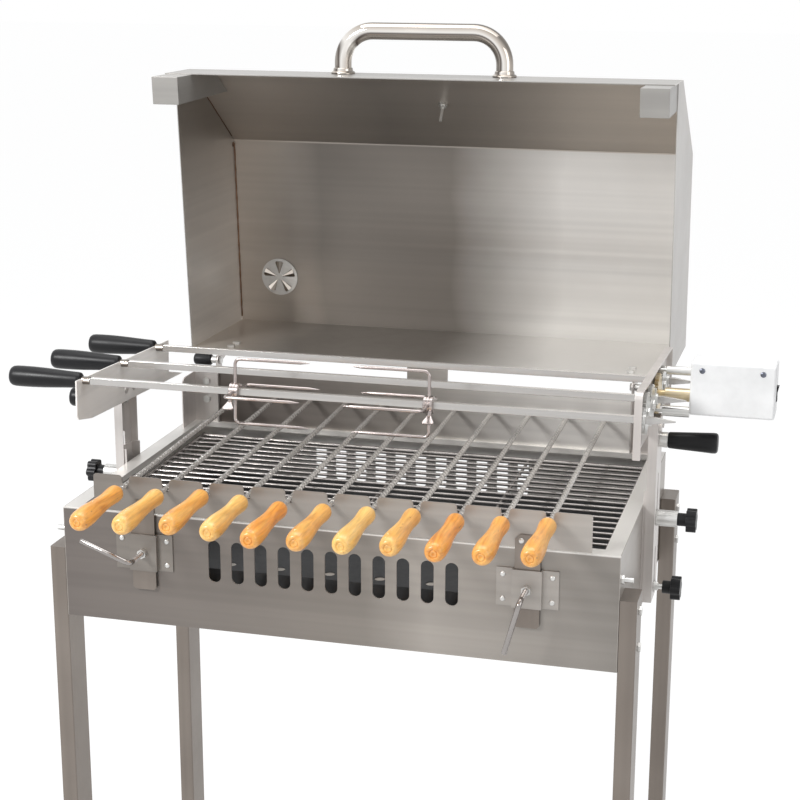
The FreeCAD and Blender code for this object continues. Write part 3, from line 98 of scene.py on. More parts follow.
def on_hood(x, s, h):
    """A place on the open hood: s runs forward from the closed hood's rear lip and h up."""
    turn = -HOOD_LEAN
    return at(x, -s * math.cos(turn) - h * math.sin(turn) + HOOD_LIP[0],
              -s * math.sin(turn) + h * math.cos(turn) + HOOD_LIP[1])


def slant_height(s):
    """The height of the hood's slanted panel above the closed hood's lip."""
    return SLANT_FOOT[1] + (SLANT_FOOT[0] - s) * SLANT_DROP / SLANT_RUN


# Shader building

def new_material(name):
    material = bpy.data.materials.new(name)
    material.use_nodes = True
    tree = material.node_tree
    shader = tree.nodes["Principled BSDF"]
    return material, tree, shader


def add(tree, kind, **settings):
    node = tree.nodes.new(kind)
    for key, value in settings.items():
        if key in node.inputs:
            node.inputs[key].default_value = value
        else:
            setattr(node, key, value)
    return node


def ramp(tree, factor, stops):
    node = add(tree, "ShaderNodeValToRGB")
    elements = node.color_ramp.elements
    while len(elements) < len(stops):
        elements.new(0.5)
    for element, (place, color) in zip(elements, stops):
        element.position = place
        element.color = (*color, 1)
    tree.links.new(factor, node.inputs["Fac"])
    return node.outputs["Color"]


def mapped(tree, factor, low, high, start=0.0, end=1.0):
    node = add(tree, "ShaderNodeMapRange")
    node.inputs["From Min"].default_value = start
    node.inputs["From Max"].default_value = end
    node.inputs["To Min"].default_value = low
    node.inputs["To Max"].default_value = high
    tree.links.new(factor, node.inputs["Value"])
    return node.outputs["Result"]


def mixed(tree, factor, first, second, blend="MIX"):
    node = add(tree, "ShaderNodeMix", data_type="RGBA", blend_type=blend)
    for value, socket in ((factor, node.inputs[0]), (first, node.inputs[6]), (second, node.inputs[7])):
        if isinstance(value, bpy.types.NodeSocket):
            tree.links.new(value, socket)
        elif isinstance(value, tuple):
            socket.default_value = (*value, 1)
        else:
            socket.default_value = value
    return node.outputs[2]


def calculated(tree, operation, first, second, clamp=False):
    node = add(tree, "ShaderNodeMath", operation=operation, use_clamp=clamp)
    for value, socket in ((first, node.inputs[0]), (second, node.inputs[1])):
        if isinstance(value, bpy.types.NodeSocket):
            tree.links.new(value, socket)
        else:
            socket.default_value = value
    return node.outputs[0]


def stretched(tree, factors):
    """Object coordinates, stretched along each axis."""
    place = add(tree, "ShaderNodeTexCoord")
    node = add(tree, "ShaderNodeVectorMath", operation="MULTIPLY")
    tree.links.new(place.outputs["Object"], node.inputs[0])
    if isinstance(factors, bpy.types.NodeSocket):
        tree.links.new(factors, node.inputs[1])
    else:
        node.inputs[1].default_value = factors
    return node.outputs[0]


def noise(tree, vector, **settings):
    node = add(tree, "ShaderNodeTexNoise", **settings)
    tree.links.new(vector, node.inputs["Vector"])
    return node.outputs["Fac"]


def texture_group(name, build, inputs, outputs):
    """A node group that several materials share, with its inputs and outputs named."""
    tree = bpy.data.node_groups.new(name, "ShaderNodeTree")
    for label, kind, value in inputs:
        socket = tree.interface.new_socket(name=label, in_out="INPUT", socket_type=kind)
        socket.default_value = value
    for label, kind in outputs:
        tree.interface.new_socket(name=label, in_out="OUTPUT", socket_type=kind)
    source = tree.nodes.new("NodeGroupInput")
    target = tree.nodes.new("NodeGroupOutput")
    build(tree, source, target)
    return tree


def build_grain(tree, source, target):
    """Fine brushed lines, broad clouds and handling smears."""
    place = add(tree, "ShaderNodeTexCoord").outputs["Object"]
    vector = stretched(tree, source.outputs["Stretch"])
    fine = noise(tree, vector, Scale=0.5, Detail=0.0)
    coarse = noise(tree, vector, Scale=0.17, Detail=1.0, Roughness=0.4)
    lines = calculated(tree, "ADD", calculated(tree, "MULTIPLY", fine, 0.35),
                       calculated(tree, "MULTIPLY", coarse, 0.65))
    cloud = noise(tree, place, Scale=4.0, Detail=3.0, Roughness=0.55)
    smear = noise(tree, place, Scale=22.0, Detail=5.0, Roughness=0.62, Distortion=0.8)
    for label, value in (("Lines", lines), ("Cloud", cloud), ("Smear", smear)):
        tree.links.new(value, target.inputs[label])


def build_wear(tree, source, target):
    """Lighter or darker places where edges stand proud."""
    edge = add(tree, "ShaderNodeNewGeometry")
    sharp = mapped(tree, edge.outputs["Pointiness"], 0.0, 1.0, 0.5, 0.56)
    place = add(tree, "ShaderNodeTexCoord").outputs["Object"]
    broken = mapped(tree, noise(tree, place, Scale=90.0, Detail=3.0), 0.2, 1.0, 0.3, 0.6)
    worn = calculated(tree, "MULTIPLY", sharp, broken, clamp=True)
    tree.links.new(calculated(tree, "MULTIPLY", worn, source.outputs["Amount"], clamp=True),
                   target.inputs["Edge"])


GRAIN = texture_group("brushed_grain", build_grain,
                      [("Stretch", "NodeSocketVector", (3.0, 3.0, 700.0))],
                      [(label, "NodeSocketFloat") for label in ("Lines", "Cloud", "Smear")])
WEAR = texture_group("edge_wear", build_wear, [("Amount", "NodeSocketFloat", 0.5)],
                     [("Edge", "NodeSocketFloat")])


def group_node(tree, group, **values):
    node = tree.nodes.new("ShaderNodeGroup")
    node.node_tree = group
    for key, value in values.items():
        node.inputs[key].default_value = value
    return node


# A tint is a function that gives the colour of a steel from its tree and grain.

def clouded(dark, light):
    """Two close tones that drift into each other over a hand's breadth."""
    return lambda tree, grain: ramp(tree, grain.outputs["Cloud"], [(0.3, dark), (0.7, light)])


def swept(axis, *stops):
    """Colours at places along an axis, in millimetres from the middle of the front rim."""
    def tint(tree, grain):
        parts = add(tree, "ShaderNodeSeparateXYZ")
        tree.links.new(add(tree, "ShaderNodeTexCoord").outputs["Object"], parts.inputs[0])
        middle = RIM_FRONT["XYZ".index(axis)]
        low, high = stops[0][0], stops[-1][0]
        share = mapped(tree, parts.outputs[axis], 0.0, 1.0, middle + low / 1000, middle + high / 1000)
        drift = mapped(tree, grain.outputs["Cloud"], -0.03, 0.03, 0.3, 0.7)
        return ramp(tree, calculated(tree, "ADD", share, drift, clamp=True),
                    [((place - low) / (high - low), color) for place, color in stops])
    return tint


def parted(axis, edge, below, above, blur=1.0):
    """One tint below a place on an axis of the object, and another above it."""
    def tint(tree, grain):
        parts = add(tree, "ShaderNodeSeparateXYZ")
        tree.links.new(add(tree, "ShaderNodeTexCoord").outputs["Object"], parts.inputs[0])
        side = mapped(tree, parts.outputs[axis], 0.0, 1.0, edge - blur / 1000, edge + blur / 1000)
        return mixed(tree, side, below(tree, grain), above(tree, grain))
    return tint


def shelled(middle, inside, outside):
    """One tint on a shell's faces that look at its middle, and another on those that look away."""
    def tint(tree, grain):
        place = add(tree, "ShaderNodeTexCoord")
        away = add(tree, "ShaderNodeVectorMath", operation="SUBTRACT")
        tree.links.new(place.outputs["Object"], away.inputs[0])
        away.inputs[1].default_value = middle
        facing = add(tree, "ShaderNodeVectorMath", operation="DOT_PRODUCT")
        tree.links.new(away.outputs[0], facing.inputs[0])
        tree.links.new(place.outputs["Normal"], facing.inputs[1])
        outer = calculated(tree, "GREATER_THAN", facing.outputs["Value"], 0.0)
        return mixed(tree, outer, inside(tree, grain), outside(tree, grain))
    return tint


def banded(*stops):
    """Painted reflection and shade: colours by how far a bar's surface is turned up or aside, standing in
    for the room that polished steel mirrors.
    """
    def tint(tree, _grain):
        parts = add(tree, "ShaderNodeSeparateXYZ")
        tree.links.new(add(tree, "ShaderNodeTexCoord").outputs["Normal"], parts.inputs[0])
        aside = calculated(tree, "MULTIPLY", parts.outputs["X"], 0.8)
        turned_up = calculated(tree, "ADD", parts.outputs["Z"], aside)
        return ramp(tree, mapped(tree, turned_up, 0.0, 1.0, -1.0, 1.0), stops)
    return tint


def steel(name, stretch, tint, rough_low, rough_high, bump=0.02, metal=0.65, streak=0.05, wear=0.0):
    """Bare steel with fine lines that run along the axes with the smaller stretch."""
    material, tree, shader = new_material(name)
    grain = group_node(tree, GRAIN, Stretch=stretch)
    lines = mapped(tree, grain.outputs["Lines"], 1 - streak, 1 + streak, 0.38, 0.62)
    color = mixed(tree, 1.0, tint(tree, grain), lines, "MULTIPLY")
    if wear:
        edge = group_node(tree, WEAR, Amount=wear)
        color = mixed(tree, edge.outputs["Edge"], color, (0.75, 0.72, 0.68))
    tree.links.new(color, shader.inputs["Base Color"])
    shader.inputs["Metallic"].default_value = metal
    smear = mapped(tree, grain.outputs["Smear"], -0.02, 0.03, 0.35, 0.7)
    brushed = mapped(tree, grain.outputs["Lines"], rough_low, rough_high, 0.3, 0.7)
    tree.links.new(calculated(tree, "ADD", brushed, smear, clamp=True), shader.inputs["Roughness"])
    height = add(tree, "ShaderNodeBump", Strength=bump, Distance=0.0004)
    tree.links.new(grain.outputs["Lines"], height.inputs["Height"])
    tree.links.new(height.outputs["Normal"], shader.inputs["Normal"])
    return material


def moulded(name, color, rough, speck_scale, speck_height, pale=1.25, coat=0.0, gloss=0.5):
    """Moulded or painted skin with a fine grain and uneven gloss."""
    material, tree, shader = new_material(name)
    place = add(tree, "ShaderNodeTexCoord").outputs["Object"]
    fine = noise(tree, place, Scale=speck_scale, Detail=3.0)
    broad = noise(tree, place, Scale=14.0, Detail=4.0, Roughness=0.6)
    edge = group_node(tree, WEAR, Amount=0.3)
    low = tuple(c * 0.92 for c in color)
    high = tuple(min(1.0, c * 1.06) for c in color)
    base = ramp(tree, broad, [(0.35, low), (0.65, high)])
    base = mixed(tree, edge.outputs["Edge"], base, tuple(min(1.0, c * pale + 0.01) for c in color))
    tree.links.new(base, shader.inputs["Base Color"])
    tree.links.new(mapped(tree, broad, rough - 0.05, rough + 0.08, 0.35, 0.65), shader.inputs["Roughness"])
    shader.inputs["Coat Weight"].default_value = coat
    shader.inputs["Specular IOR Level"].default_value = gloss
    height = add(tree, "ShaderNodeBump", Strength=speck_height, Distance=0.0002)
    tree.links.new(fine, height.inputs["Height"])
    tree.links.new(height.outputs["Normal"], shader.inputs["Normal"])
    return material


def varnished_beech():
    """Turned beech under clear varnish: fibres, figure and specks, with a tone for each handle."""
    material, tree, shader = new_material("varnished_beech")
    fibre = noise(tree, stretched(tree, (300.0, 16.0, 300.0)), Scale=1.0, Detail=5.0, Roughness=0.65,
                  Distortion=0.6)
    figure = noise(tree, stretched(tree, (70.0, 9.0, 70.0)), Scale=1.0, Detail=2.0, Distortion=1.4)
    parts = add(tree, "ShaderNodeSeparateXYZ")
    tree.links.new(add(tree, "ShaderNodeTexCoord").outputs["Object"], parts.inputs[0])
    step = SKEWER_STEP / 1000
    first = RIM_FRONT.x + SKEWER_MIDDLE / 1000 - step * len(HANDLE_TONES) / 2
    share = mapped(tree, parts.outputs["X"], 0.0, 1.0, first, first + step * len(HANDLE_TONES))
    piece_tone = add(tree, "ShaderNodeValToRGB")
    tones = piece_tone.color_ramp
    tones.interpolation = "CONSTANT"
    while len(tones.elements) < len(HANDLE_TONES):
        tones.elements.new(0.99)
    for index, (element, tone) in enumerate(zip(tones.elements, HANDLE_TONES)):
        element.position = index / len(HANDLE_TONES)
        element.color = (tone, tone, tone, 1)
    tree.links.new(share, piece_tone.inputs["Fac"])
    specks = noise(tree, stretched(tree, (190.0, 60.0, 190.0)), Scale=1.0, Detail=1.0)
    amber = ramp(tree, figure, [(0.25, (0.62, 0.20, 0.018)), (0.5, (0.83, 0.32, 0.034)),
                                (0.75, (0.92, 0.43, 0.07))])
    honey = ramp(tree, figure, [(0.25, (0.80, 0.43, 0.09)), (0.5, (0.90, 0.55, 0.15)),
                                (0.75, (0.94, 0.66, 0.23))])
    color = mixed(tree, piece_tone.outputs["Color"], amber, honey)
    color = mixed(tree, 1.0, color, mapped(tree, fibre, 0.78, 1.08, 0.3, 0.62), "MULTIPLY")
    color = mixed(tree, mapped(tree, specks, 0.0, 0.75, 0.72, 0.78), color, (0.36, 0.15, 0.04))
    edge = group_node(tree, WEAR, Amount=0.3)
    color = mixed(tree, edge.outputs["Edge"], color, (0.92, 0.62, 0.30))
    tree.links.new(color, shader.inputs["Base Color"])
    tree.links.new(mapped(tree, fibre, 0.32, 0.46), shader.inputs["Roughness"])
    shader.inputs["Coat Weight"].default_value = 0.45
    shader.inputs["Coat Roughness"].default_value = 0.2
    height = add(tree, "ShaderNodeBump", Strength=0.1, Distance=0.0003)
    tree.links.new(fibre, height.inputs["Height"])
    tree.links.new(height.outputs["Normal"], shader.inputs["Normal"])
    return material


# Tints, which paint light, shade and reflection into the steels' colour

FRONT_FACE = RIM_FRONT.y + 0.0008
REAR_FACE = RIM_FRONT.y + 0.5292
BOX_SIDE = 0.4192
HOOD_FOLD = on_hood(0, 322, 262).z - 0.003
HOOD_WALL = RIM_FRONT.x - 0.4181
HOOD_RIGHT = RIM_FRONT.x + 0.4185
HOOD_MIDDLE = on_hood(0, 220, 110)

# Six tones of one steel for painted light, shade and reflection, from the one that faces a dark room to
# the one that faces a window
SHADE = (0.10, 0.08, 0.07)
DUSK = (0.20, 0.18, 0.16)
GREY = (0.35, 0.32, 0.29)
WARM = (0.60, 0.54, 0.48)
LIGHT = (0.75, 0.73, 0.70)
PALE = (0.90, 0.87, 0.83)

# Painted light on the fire box: a painted sweep of shade and light across its front, painted reflections
# on its rim and rear rim, and a tone of its own for its outer walls' light
front_painted_light = swept("X", (-420, SHADE), (50, DUSK), (150, GREY), (420, DUSK))
rim_painted_light = swept("X", (-420, LIGHT), (0, WARM), (420, LIGHT))
rear_rim_painted_reflection = clouded(LIGHT, PALE)
rim_edge_painted_highlight = clouded(LIGHT, PALE)
side_painted_light = clouded(GREY, (0.45, 0.42, 0.39))
inner_painted_light = parted("Y", RIM_FRONT.y + 0.45, rim_painted_light, rear_rim_painted_reflection, 20)
box_painted_light = parted("Y", FRONT_FACE, front_painted_light, parted("Y", REAR_FACE, inner_painted_light, side_painted_light, 0.3))
box_painted_light = parted("X", RIM_FRONT.x - BOX_SIDE, side_painted_light, box_painted_light, 0.3)
box_painted_light = parted("X", RIM_FRONT.x + BOX_SIDE, box_painted_light, side_painted_light, 0.3)
# A thin painted highlight along the top of the rim's front edge, over the fire box's painted light
box_with_painted_rim_highlight = parted("Z", BOX_HIGH.z - 0.0016, box_painted_light,
                        parted("Y", RIM_FRONT.y + 0.004, rim_edge_painted_highlight, box_painted_light))
# Painted reflections inside the hood, across its roof and slanted panel, and painted light down its left
# wall; outside, its right wall is a lighter lit copy of the back's darker shaded tone
roof_painted_reflection = swept("X", (-420, WARM), (-250, DUSK), (0, DUSK), (200, LIGHT))
panel_painted_reflection = swept("X", (-420, WARM), (-100, GREY), (420, WARM))
wall_painted_light = swept("Z", (300, PALE), (500, DUSK))
outer_painted_light = clouded((0.45, 0.43, 0.41), (0.55, 0.53, 0.51))
back_painted_shade = clouded((0.32, 0.31, 0.29), (0.36, 0.345, 0.33))
lining_painted_reflection = parted("X", HOOD_WALL, wall_painted_light, parted("Z", HOOD_FOLD, roof_painted_reflection, panel_painted_reflection))
hood_painted_light = shelled(HOOD_MIDDLE, lining_painted_reflection, parted("X", HOOD_RIGHT, back_painted_shade, outer_painted_light, 0.2))
# Painted light across the rear plate, from shade at its left to light at its right
rear_painted_light = swept("X", (-420, SHADE), (0, GREY), (250, PALE))
# Painted light across the skewer rest and guide brackets, darker at the left and lighter at the right
rest_painted_light = swept("X", (-420, DUSK), (420, (0.43, 0.40, 0.37)))
# Painted reflection bands for the polished handle tube, spit collars and vent blades
polish_painted_reflection = banded((0.0, DUSK), (0.3, GREY), (0.4, SHADE), (0.5, PALE), (0.75, WARM), (1.0, DUSK))
# Painted light on the spit bars: a lighter top, and painted shade on their underside
bar_painted_light = banded((0.0, SHADE), (0.3, (0.42, 0.41, 0.40)), (1.0, LIGHT))

# Stretches of the grain, which run its lines level or upright
LEVEL = (2.0, 2.0, 300.0)
UPRIGHT = (300.0, 300.0, 2.0)

MATERIALS = {
    # The fire box, hood, rear plate and skewer rest carry the painted light, shade and reflection above in
    # their colour
    "firebox": steel("brushed_fire_box_painted_light", LEVEL, box_with_painted_rim_highlight, 0.31, 0.39, metal=0.5),
    "hood": steel("brushed_hood_painted_reflection", LEVEL, hood_painted_light, 0.31, 0.38, bump=0.01, metal=0.55, streak=0.035),
    "rear": steel("brushed_rear_plate_painted_light", LEVEL, rear_painted_light, 0.31, 0.39, metal=0.5),
    "rest": steel("brushed_skewer_rest_painted_light", LEVEL, rest_painted_light, 0.31, 0.39, metal=0.5),
    "upright": steel("brushed_column", UPRIGHT, clouded((0.58, 0.54, 0.515), (0.70, 0.665, 0.64)),
                     0.31, 0.38, metal=0.55),
    "leg": steel("brushed_leg", UPRIGHT, clouded((0.195, 0.167, 0.145), (0.245, 0.213, 0.187)),
                 0.31, 0.39),
    "plate": steel("brushed_side_plate", LEVEL, clouded((0.84, 0.80, 0.76), (0.94, 0.91, 0.88)),
                   0.31, 0.38, metal=0.25),
    "foot": steel("brushed_hood_foot", (6.0, 6.0, 300.0),
                  clouded((0.27, 0.262, 0.25), (0.38, 0.365, 0.345)), 0.31, 0.39, metal=0.45),
    # Its colour is painted reflection, banded by how the surface turns
    "bright": steel("polished_tube_painted_reflection", (60.0, 60.0, 60.0), polish_painted_reflection, 0.05, 0.1,
                    bump=0.01, metal=1.0, streak=0.02),
    "wire": steel("chromed_wire", (150.0, 150.0, 150.0),
                  clouded((0.27, 0.25, 0.24), (0.40, 0.375, 0.36)), 0.14, 0.22, metal=0.85),
    "prong": steel("drawn_prong", (150.0, 150.0, 150.0),
                   clouded((0.36, 0.31, 0.295), (0.50, 0.455, 0.44)), 0.14, 0.22, metal=0.9),
    "screw": steel("blued_screw", (150.0, 150.0, 150.0),
                   clouded((0.10, 0.11, 0.14), (0.20, 0.21, 0.25)), 0.3, 0.36, metal=0.9),
    # The spit bars' colour is painted light, lighter on top and shaded below
    "bar": steel("drawn_bar_painted_light", (4.0, 500.0, 500.0), bar_painted_light, 0.15, 0.22, bump=0.05, metal=0.7),
    "skewer": steel("drawn_skewer", (400.0, 6.0, 400.0),
                    clouded((0.62, 0.59, 0.56), (0.78, 0.75, 0.72)), 0.14, 0.22, bump=0.05, metal=0.7),
    "zinc": steel("zinc_fastener", (200.0, 200.0, 200.0),
                  clouded((0.58, 0.58, 0.57), (0.72, 0.72, 0.70)),
                  0.3, 0.37, bump=0.08, metal=0.85, wear=0.3),
    "disc": steel("spun_disc", (300.0, 300.0, 300.0), clouded((0.62, 0.62, 0.61), (0.74, 0.74, 0.73)),
                  0.31, 0.38, bump=0.05, metal=0.6),
    "weld": steel("heat_tinted_weld", (90.0, 90.0, 90.0),
                  clouded((0.07, 0.032, 0.016), (0.24, 0.14, 0.085)),
                  0.33, 0.45, bump=0.1, metal=0.5, streak=0.1),
    "brass": steel("machined_brass", (300.0, 300.0, 300.0),
                   clouded((0.60, 0.48, 0.28), (0.72, 0.60, 0.38)),
                   0.3, 0.37, bump=0.06, metal=0.85, wear=0.3),
    "black": moulded("black_gloss_grip", (0.009, 0.009, 0.01), 0.35, 600.0, 0.05, pale=3.0, gloss=0.25),
    "cap": moulded("black_matt_cap", (0.02, 0.02, 0.02), 0.55, 900.0, 0.2, pale=2.0),
    "tray": moulded("dark_heat_paint", (0.055, 0.056, 0.058), 0.7, 500.0, 0.4, pale=1.8),
    "white": moulded("white_powder_coat", (0.83, 0.83, 0.83), 0.4, 1400.0, 0.08, pale=1.0),
    "ink": moulded("black_print", (0.03, 0.03, 0.03), 0.5, 900.0, 0.05),
    "needle": moulded("red_paint", (0.6, 0.03, 0.02), 0.4, 900.0, 0.05),
    "beech": varnished_beech(),
}


# Modelling helpers

def clear_selection():
    if bpy.context.object and bpy.context.object.mode != "OBJECT":
        bpy.ops.object.mode_set(mode="OBJECT")
    bpy.ops.object.select_all(action="DESELECT")


def take(piece):
    clear_selection()
    piece.select_set(True)
    bpy.context.view_layer.objects.active = piece
    return piece


def use_modifier(piece, kind, **settings):
    take(piece)
    modifier = piece.modifiers.new(kind.lower(), kind)
    for key, value in settings.items():
        setattr(modifier, key, value)
    bpy.ops.object.modifier_apply(modifier=modifier.name)


def soften(piece, width, segments=2):
    """Breaks the sharp edges and smooths the rest, with flat faces kept flat."""
    sharp = math.radians(32)
    use_modifier(piece, "BEVEL", width=width / 1000, segments=segments, limit_method="ANGLE",
                 angle_limit=sharp, use_clamp_overlap=True, harden_normals=False)
    take(piece)
    bpy.ops.object.shade_smooth_by_angle(angle=sharp)
    use_modifier(piece, "WEIGHTED_NORMAL", keep_sharp=True, weight=60)
    return piece


def dress(piece, name, material, body, replaces=()):
    """Names the piece, gives it its finish and hangs it on its body."""
    piece.name = name
    piece.data.name = name
    piece.data.materials.clear()
    piece.data.materials.append(MATERIALS[material])
    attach(piece, body)
    if replaces:
        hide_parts(*replaces)


def merged_node(node):
    """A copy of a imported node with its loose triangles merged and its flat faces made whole."""
    source = frame["nodes"][node]
    piece = source.copy()
    piece.data = source.data.copy()
    for key in list(piece.keys()):
        del piece[key]
    piece.parent = None
    piece.hide_render = False
    piece.hide_viewport = False
    bpy.context.collection.objects.link(piece)
    take(piece)
    bpy.ops.mesh.customdata_custom_splitnormals_clear()
    bpy.ops.object.mode_set(mode="EDIT")
    bpy.ops.mesh.select_all(action="SELECT")
    bpy.ops.mesh.remove_doubles(threshold=0.00001)
    bpy.ops.mesh.dissolve_limited(angle_limit=math.radians(1))
    bpy.ops.object.mode_set(mode="OBJECT")
    return piece


def dressed_node(node, material, width):
    """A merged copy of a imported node, with its edges broken, in place of the node."""
    piece = soften(merged_node(node), width)
    dress(piece, node + "_skin", material, NODE_BODY[node], (node,))


def joined(pieces):
    clear_selection()
    for piece in pieces:
        piece.select_set(True)
    bpy.context.view_layer.objects.active = pieces[0]
    bpy.ops.object.join()
    return bpy.context.object


def placed(piece):
    """The piece with its place and turn moved into its mesh."""
    take(piece)
    bpy.ops.object.transform_apply(location=True, rotation=True, scale=True)
    return piece


def turned(stations, start, axis, sides=32, angle=35):
    """A turned piece: a ring is added at the first station and drawn out and resized along the axis."""
    along = Vector(axis).normalized()
    clear_selection()
    first = max(stations[0][1], 0.05) / 1000
    bpy.ops.mesh.primitive_circle_add(vertices=sides, radius=first, fill_type="NGON")
    piece = bpy.context.object
    bpy.ops.object.mode_set(mode="EDIT")
    bpy.ops.mesh.select_all(action="SELECT")
    bpy.ops.transform.translate(value=(0, 0, stations[0][0] / 1000))
    radius = first
    height = stations[0][0]
    for distance, size in stations[1:]:
        size = max(size, 0.05) / 1000
        bpy.ops.mesh.extrude_region_move(
            TRANSFORM_OT_translate={"value": (0, 0, (distance - height) / 1000)})
        factor = size / radius
        bpy.ops.transform.resize(value=(factor, factor, 1), center_override=(0, 0, distance / 1000))
        radius, height = size, distance
    bpy.ops.mesh.select_all(action="SELECT")
    bpy.ops.mesh.normals_make_consistent(inside=False)
    bpy.ops.object.mode_set(mode="OBJECT")
    piece.rotation_euler = along.to_track_quat("Z", "Y").to_euler()
    piece.location = start
    placed(piece)
    bpy.ops.object.shade_smooth_by_angle(angle=math.radians(angle))
    return piece


def tube(points, radius, resolution=6, tips=None):
    """A round bar bent along the points, closed at both ends; tips gives the last points' share."""
    clear_selection()
    line = bpy.data.curves.new("bent_bar", "CURVE")
    line.dimensions = "3D"
    line.bevel_depth = radius / 1000
    line.bevel_resolution = resolution
    line.use_fill_caps = True
    spline = line.splines.new("POLY")
    spline.points.add(len(points) - 1)
    for point, place in zip(spline.points, points):
        point.co = (*place, 1)
    for back, share in enumerate(reversed(tips or ()), 1):
        spline.points[-back].radius = share
    bar = bpy.data.objects.new("bent_bar", line)
    bpy.context.collection.objects.link(bar)
    take(bar)
    bpy.ops.object.convert(target="MESH")
    bar = bpy.context.object
    bpy.ops.object.mode_set(mode="EDIT")
    bpy.ops.mesh.select_all(action="SELECT")
    bpy.ops.mesh.remove_doubles(threshold=0.000001)
    bpy.ops.mesh.normals_make_consistent(inside=False)
    bpy.ops.object.mode_set(mode="OBJECT")
    bpy.ops.object.shade_smooth_by_angle(angle=math.radians(40))
    return bar


def bend(corner, before, after, radius, steps=8):
    """The points of a rounded square corner."""
    first = (before - corner).normalized() * radius / 1000
    second = (after - corner).normalized() * radius / 1000
    centre = corner + first + second
    return [centre - second * math.cos(math.pi / 2 * step / steps)
            - first * math.sin(math.pi / 2 * step / steps) for step in range(steps + 1)]


def threaded(core, rise, crest, fall, root, pitch, turns):
    """The stations of a screw thread, ring by ring, for a turned piece."""
    stations = [(0, core)]
    for ridge in range(turns):
        stations += [(rise + ridge * pitch, crest), (fall + ridge * pitch, root)]
    return stations


def square_bar(start, axis, side, length, point, tip_side, roll, pitch=None):
    """A square bar drawn out from a square to a point, twisted by a turn in each pitch."""
    twist_step = 4.0
    clear_selection()
    bpy.ops.mesh.primitive_circle_add(vertices=4, radius=side * math.sqrt(0.5) / 1000, fill_type="NGON")
    piece = bpy.context.object
    bpy.ops.object.mode_set(mode="EDIT")
    bpy.ops.mesh.select_all(action="SELECT")
    count = int((length - point) / twist_step) if pitch else 1
    pace = (length - point) / count
    for index in range(count):
        bpy.ops.mesh.extrude_region_move(TRANSFORM_OT_translate={"value": (0, 0, pace / 1000)})
        if pitch:
            bpy.ops.transform.rotate(value=2 * math.pi * pace / pitch, orient_axis="Z",
                                     center_override=(0, 0, (index + 1) * pace / 1000))
    bpy.ops.mesh.extrude_region_move(TRANSFORM_OT_translate={"value": (0, 0, point / 1000)})
    share = tip_side / side
    bpy.ops.transform.resize(value=(share, share, 1), center_override=(0, 0, length / 1000))
    bpy.ops.mesh.select_all(action="SELECT")
    bpy.ops.mesh.normals_make_consistent(inside=False)
    bpy.ops.object.mode_set(mode="OBJECT")
    facing = Vector(axis).to_track_quat("Z", "Y").to_matrix() @ Matrix.Rotation(roll, 3, "Z")
    piece.rotation_euler = facing.to_euler()
    piece.location = start
    return placed(piece)


# Dressed sheet metal and fittings

DRESSED_NODES = {
    "firebox": ("firebox", 0.7), "rear_plate": ("rear", 0.4), "rest_tongues": ("leg", 0.4),
    "guide_brackets": ("rest", 0.4), "legs": ("leg", 0.6), "column_guides": ("upright", 0.4),
    "rear_posts": ("upright", 0.4), "slide_left": ("upright", 0.5), "slide_right": ("upright", 0.5),
    "spit_plate_left": ("plate", 0.5), "gear_plate": ("upright", 0.5), "hood_shell": ("hood", 0.4),
    "hood_feet": ("foot", 0.8), "hood_leaves": ("upright", 0.4), "vent_disc": ("disc", 0.3),
    "charcoal_tray": ("tray", 0.4), "foot_caps": ("cap", 0.8), "column_studs": ("zinc", 0.3),
    "frame_bolts": ("zinc", 0.4), "hood_bolts": ("zinc", 0.4), "tongue_screws": ("zinc", 0.2),
    "gear_plate_studs": ("zinc", 0.3), "motor_box": ("white", 0.5), "rocker_switch": ("black", 0.3),
    "thermometer": ("zinc", 0.4), "knob_upper_left": ("black", 0.8), "knob_upper_right": ("black", 0.8),
    "knob_lower_left": ("black", 0.8), "knob_lower_right": ("black", 0.8),
    "spit_gear_front": ("zinc", 0.2), "spit_gear_middle": ("zinc", 0.2), "spit_gear_rear": ("zinc", 0.2),
    "idler_gear_1": ("zinc", 0.2), "idler_gear_2": ("zinc", 0.2), "idler_gear_3": ("zinc", 0.2),
    "drive_gear": ("brass", 0.2),
}


def round_corners(piece, height, radius):
    """Rounds the upright corners of a flat plate that lie at a height, seen from its face."""
    take(piece)
    bpy.ops.object.mode_set(mode="EDIT")
    bpy.ops.mesh.select_mode(type="EDGE")
    bpy.ops.mesh.select_all(action="DESELECT")
    bpy.ops.object.mode_set(mode="OBJECT")
    mesh = piece.data
    for edge in mesh.edges:
        first, second = (mesh.vertices[index].co for index in edge.vertices)
        through = abs(first.y - second.y) > 0.001 and abs(first.x - second.x) < 0.0001
        edge.select = through and abs(first.z - height) < 0.0005 and abs(second.z - height) < 0.0005
    bpy.ops.object.mode_set(mode="EDIT")
    bpy.ops.mesh.bevel(offset=radius / 1000, segments=5, affect="EDGES", clamp_overlap=True)
    bpy.ops.object.mode_set(mode="OBJECT")
    return piece


def skewer_rest():
    piece = round_corners(merged_node("skewer_rest"), at(0, 0, 58).z, 4.5)
    dress(soften(piece, 0.4), "skewer_rest_plate", "rest", "rest", ("skewer_rest",))


# Hood fittings

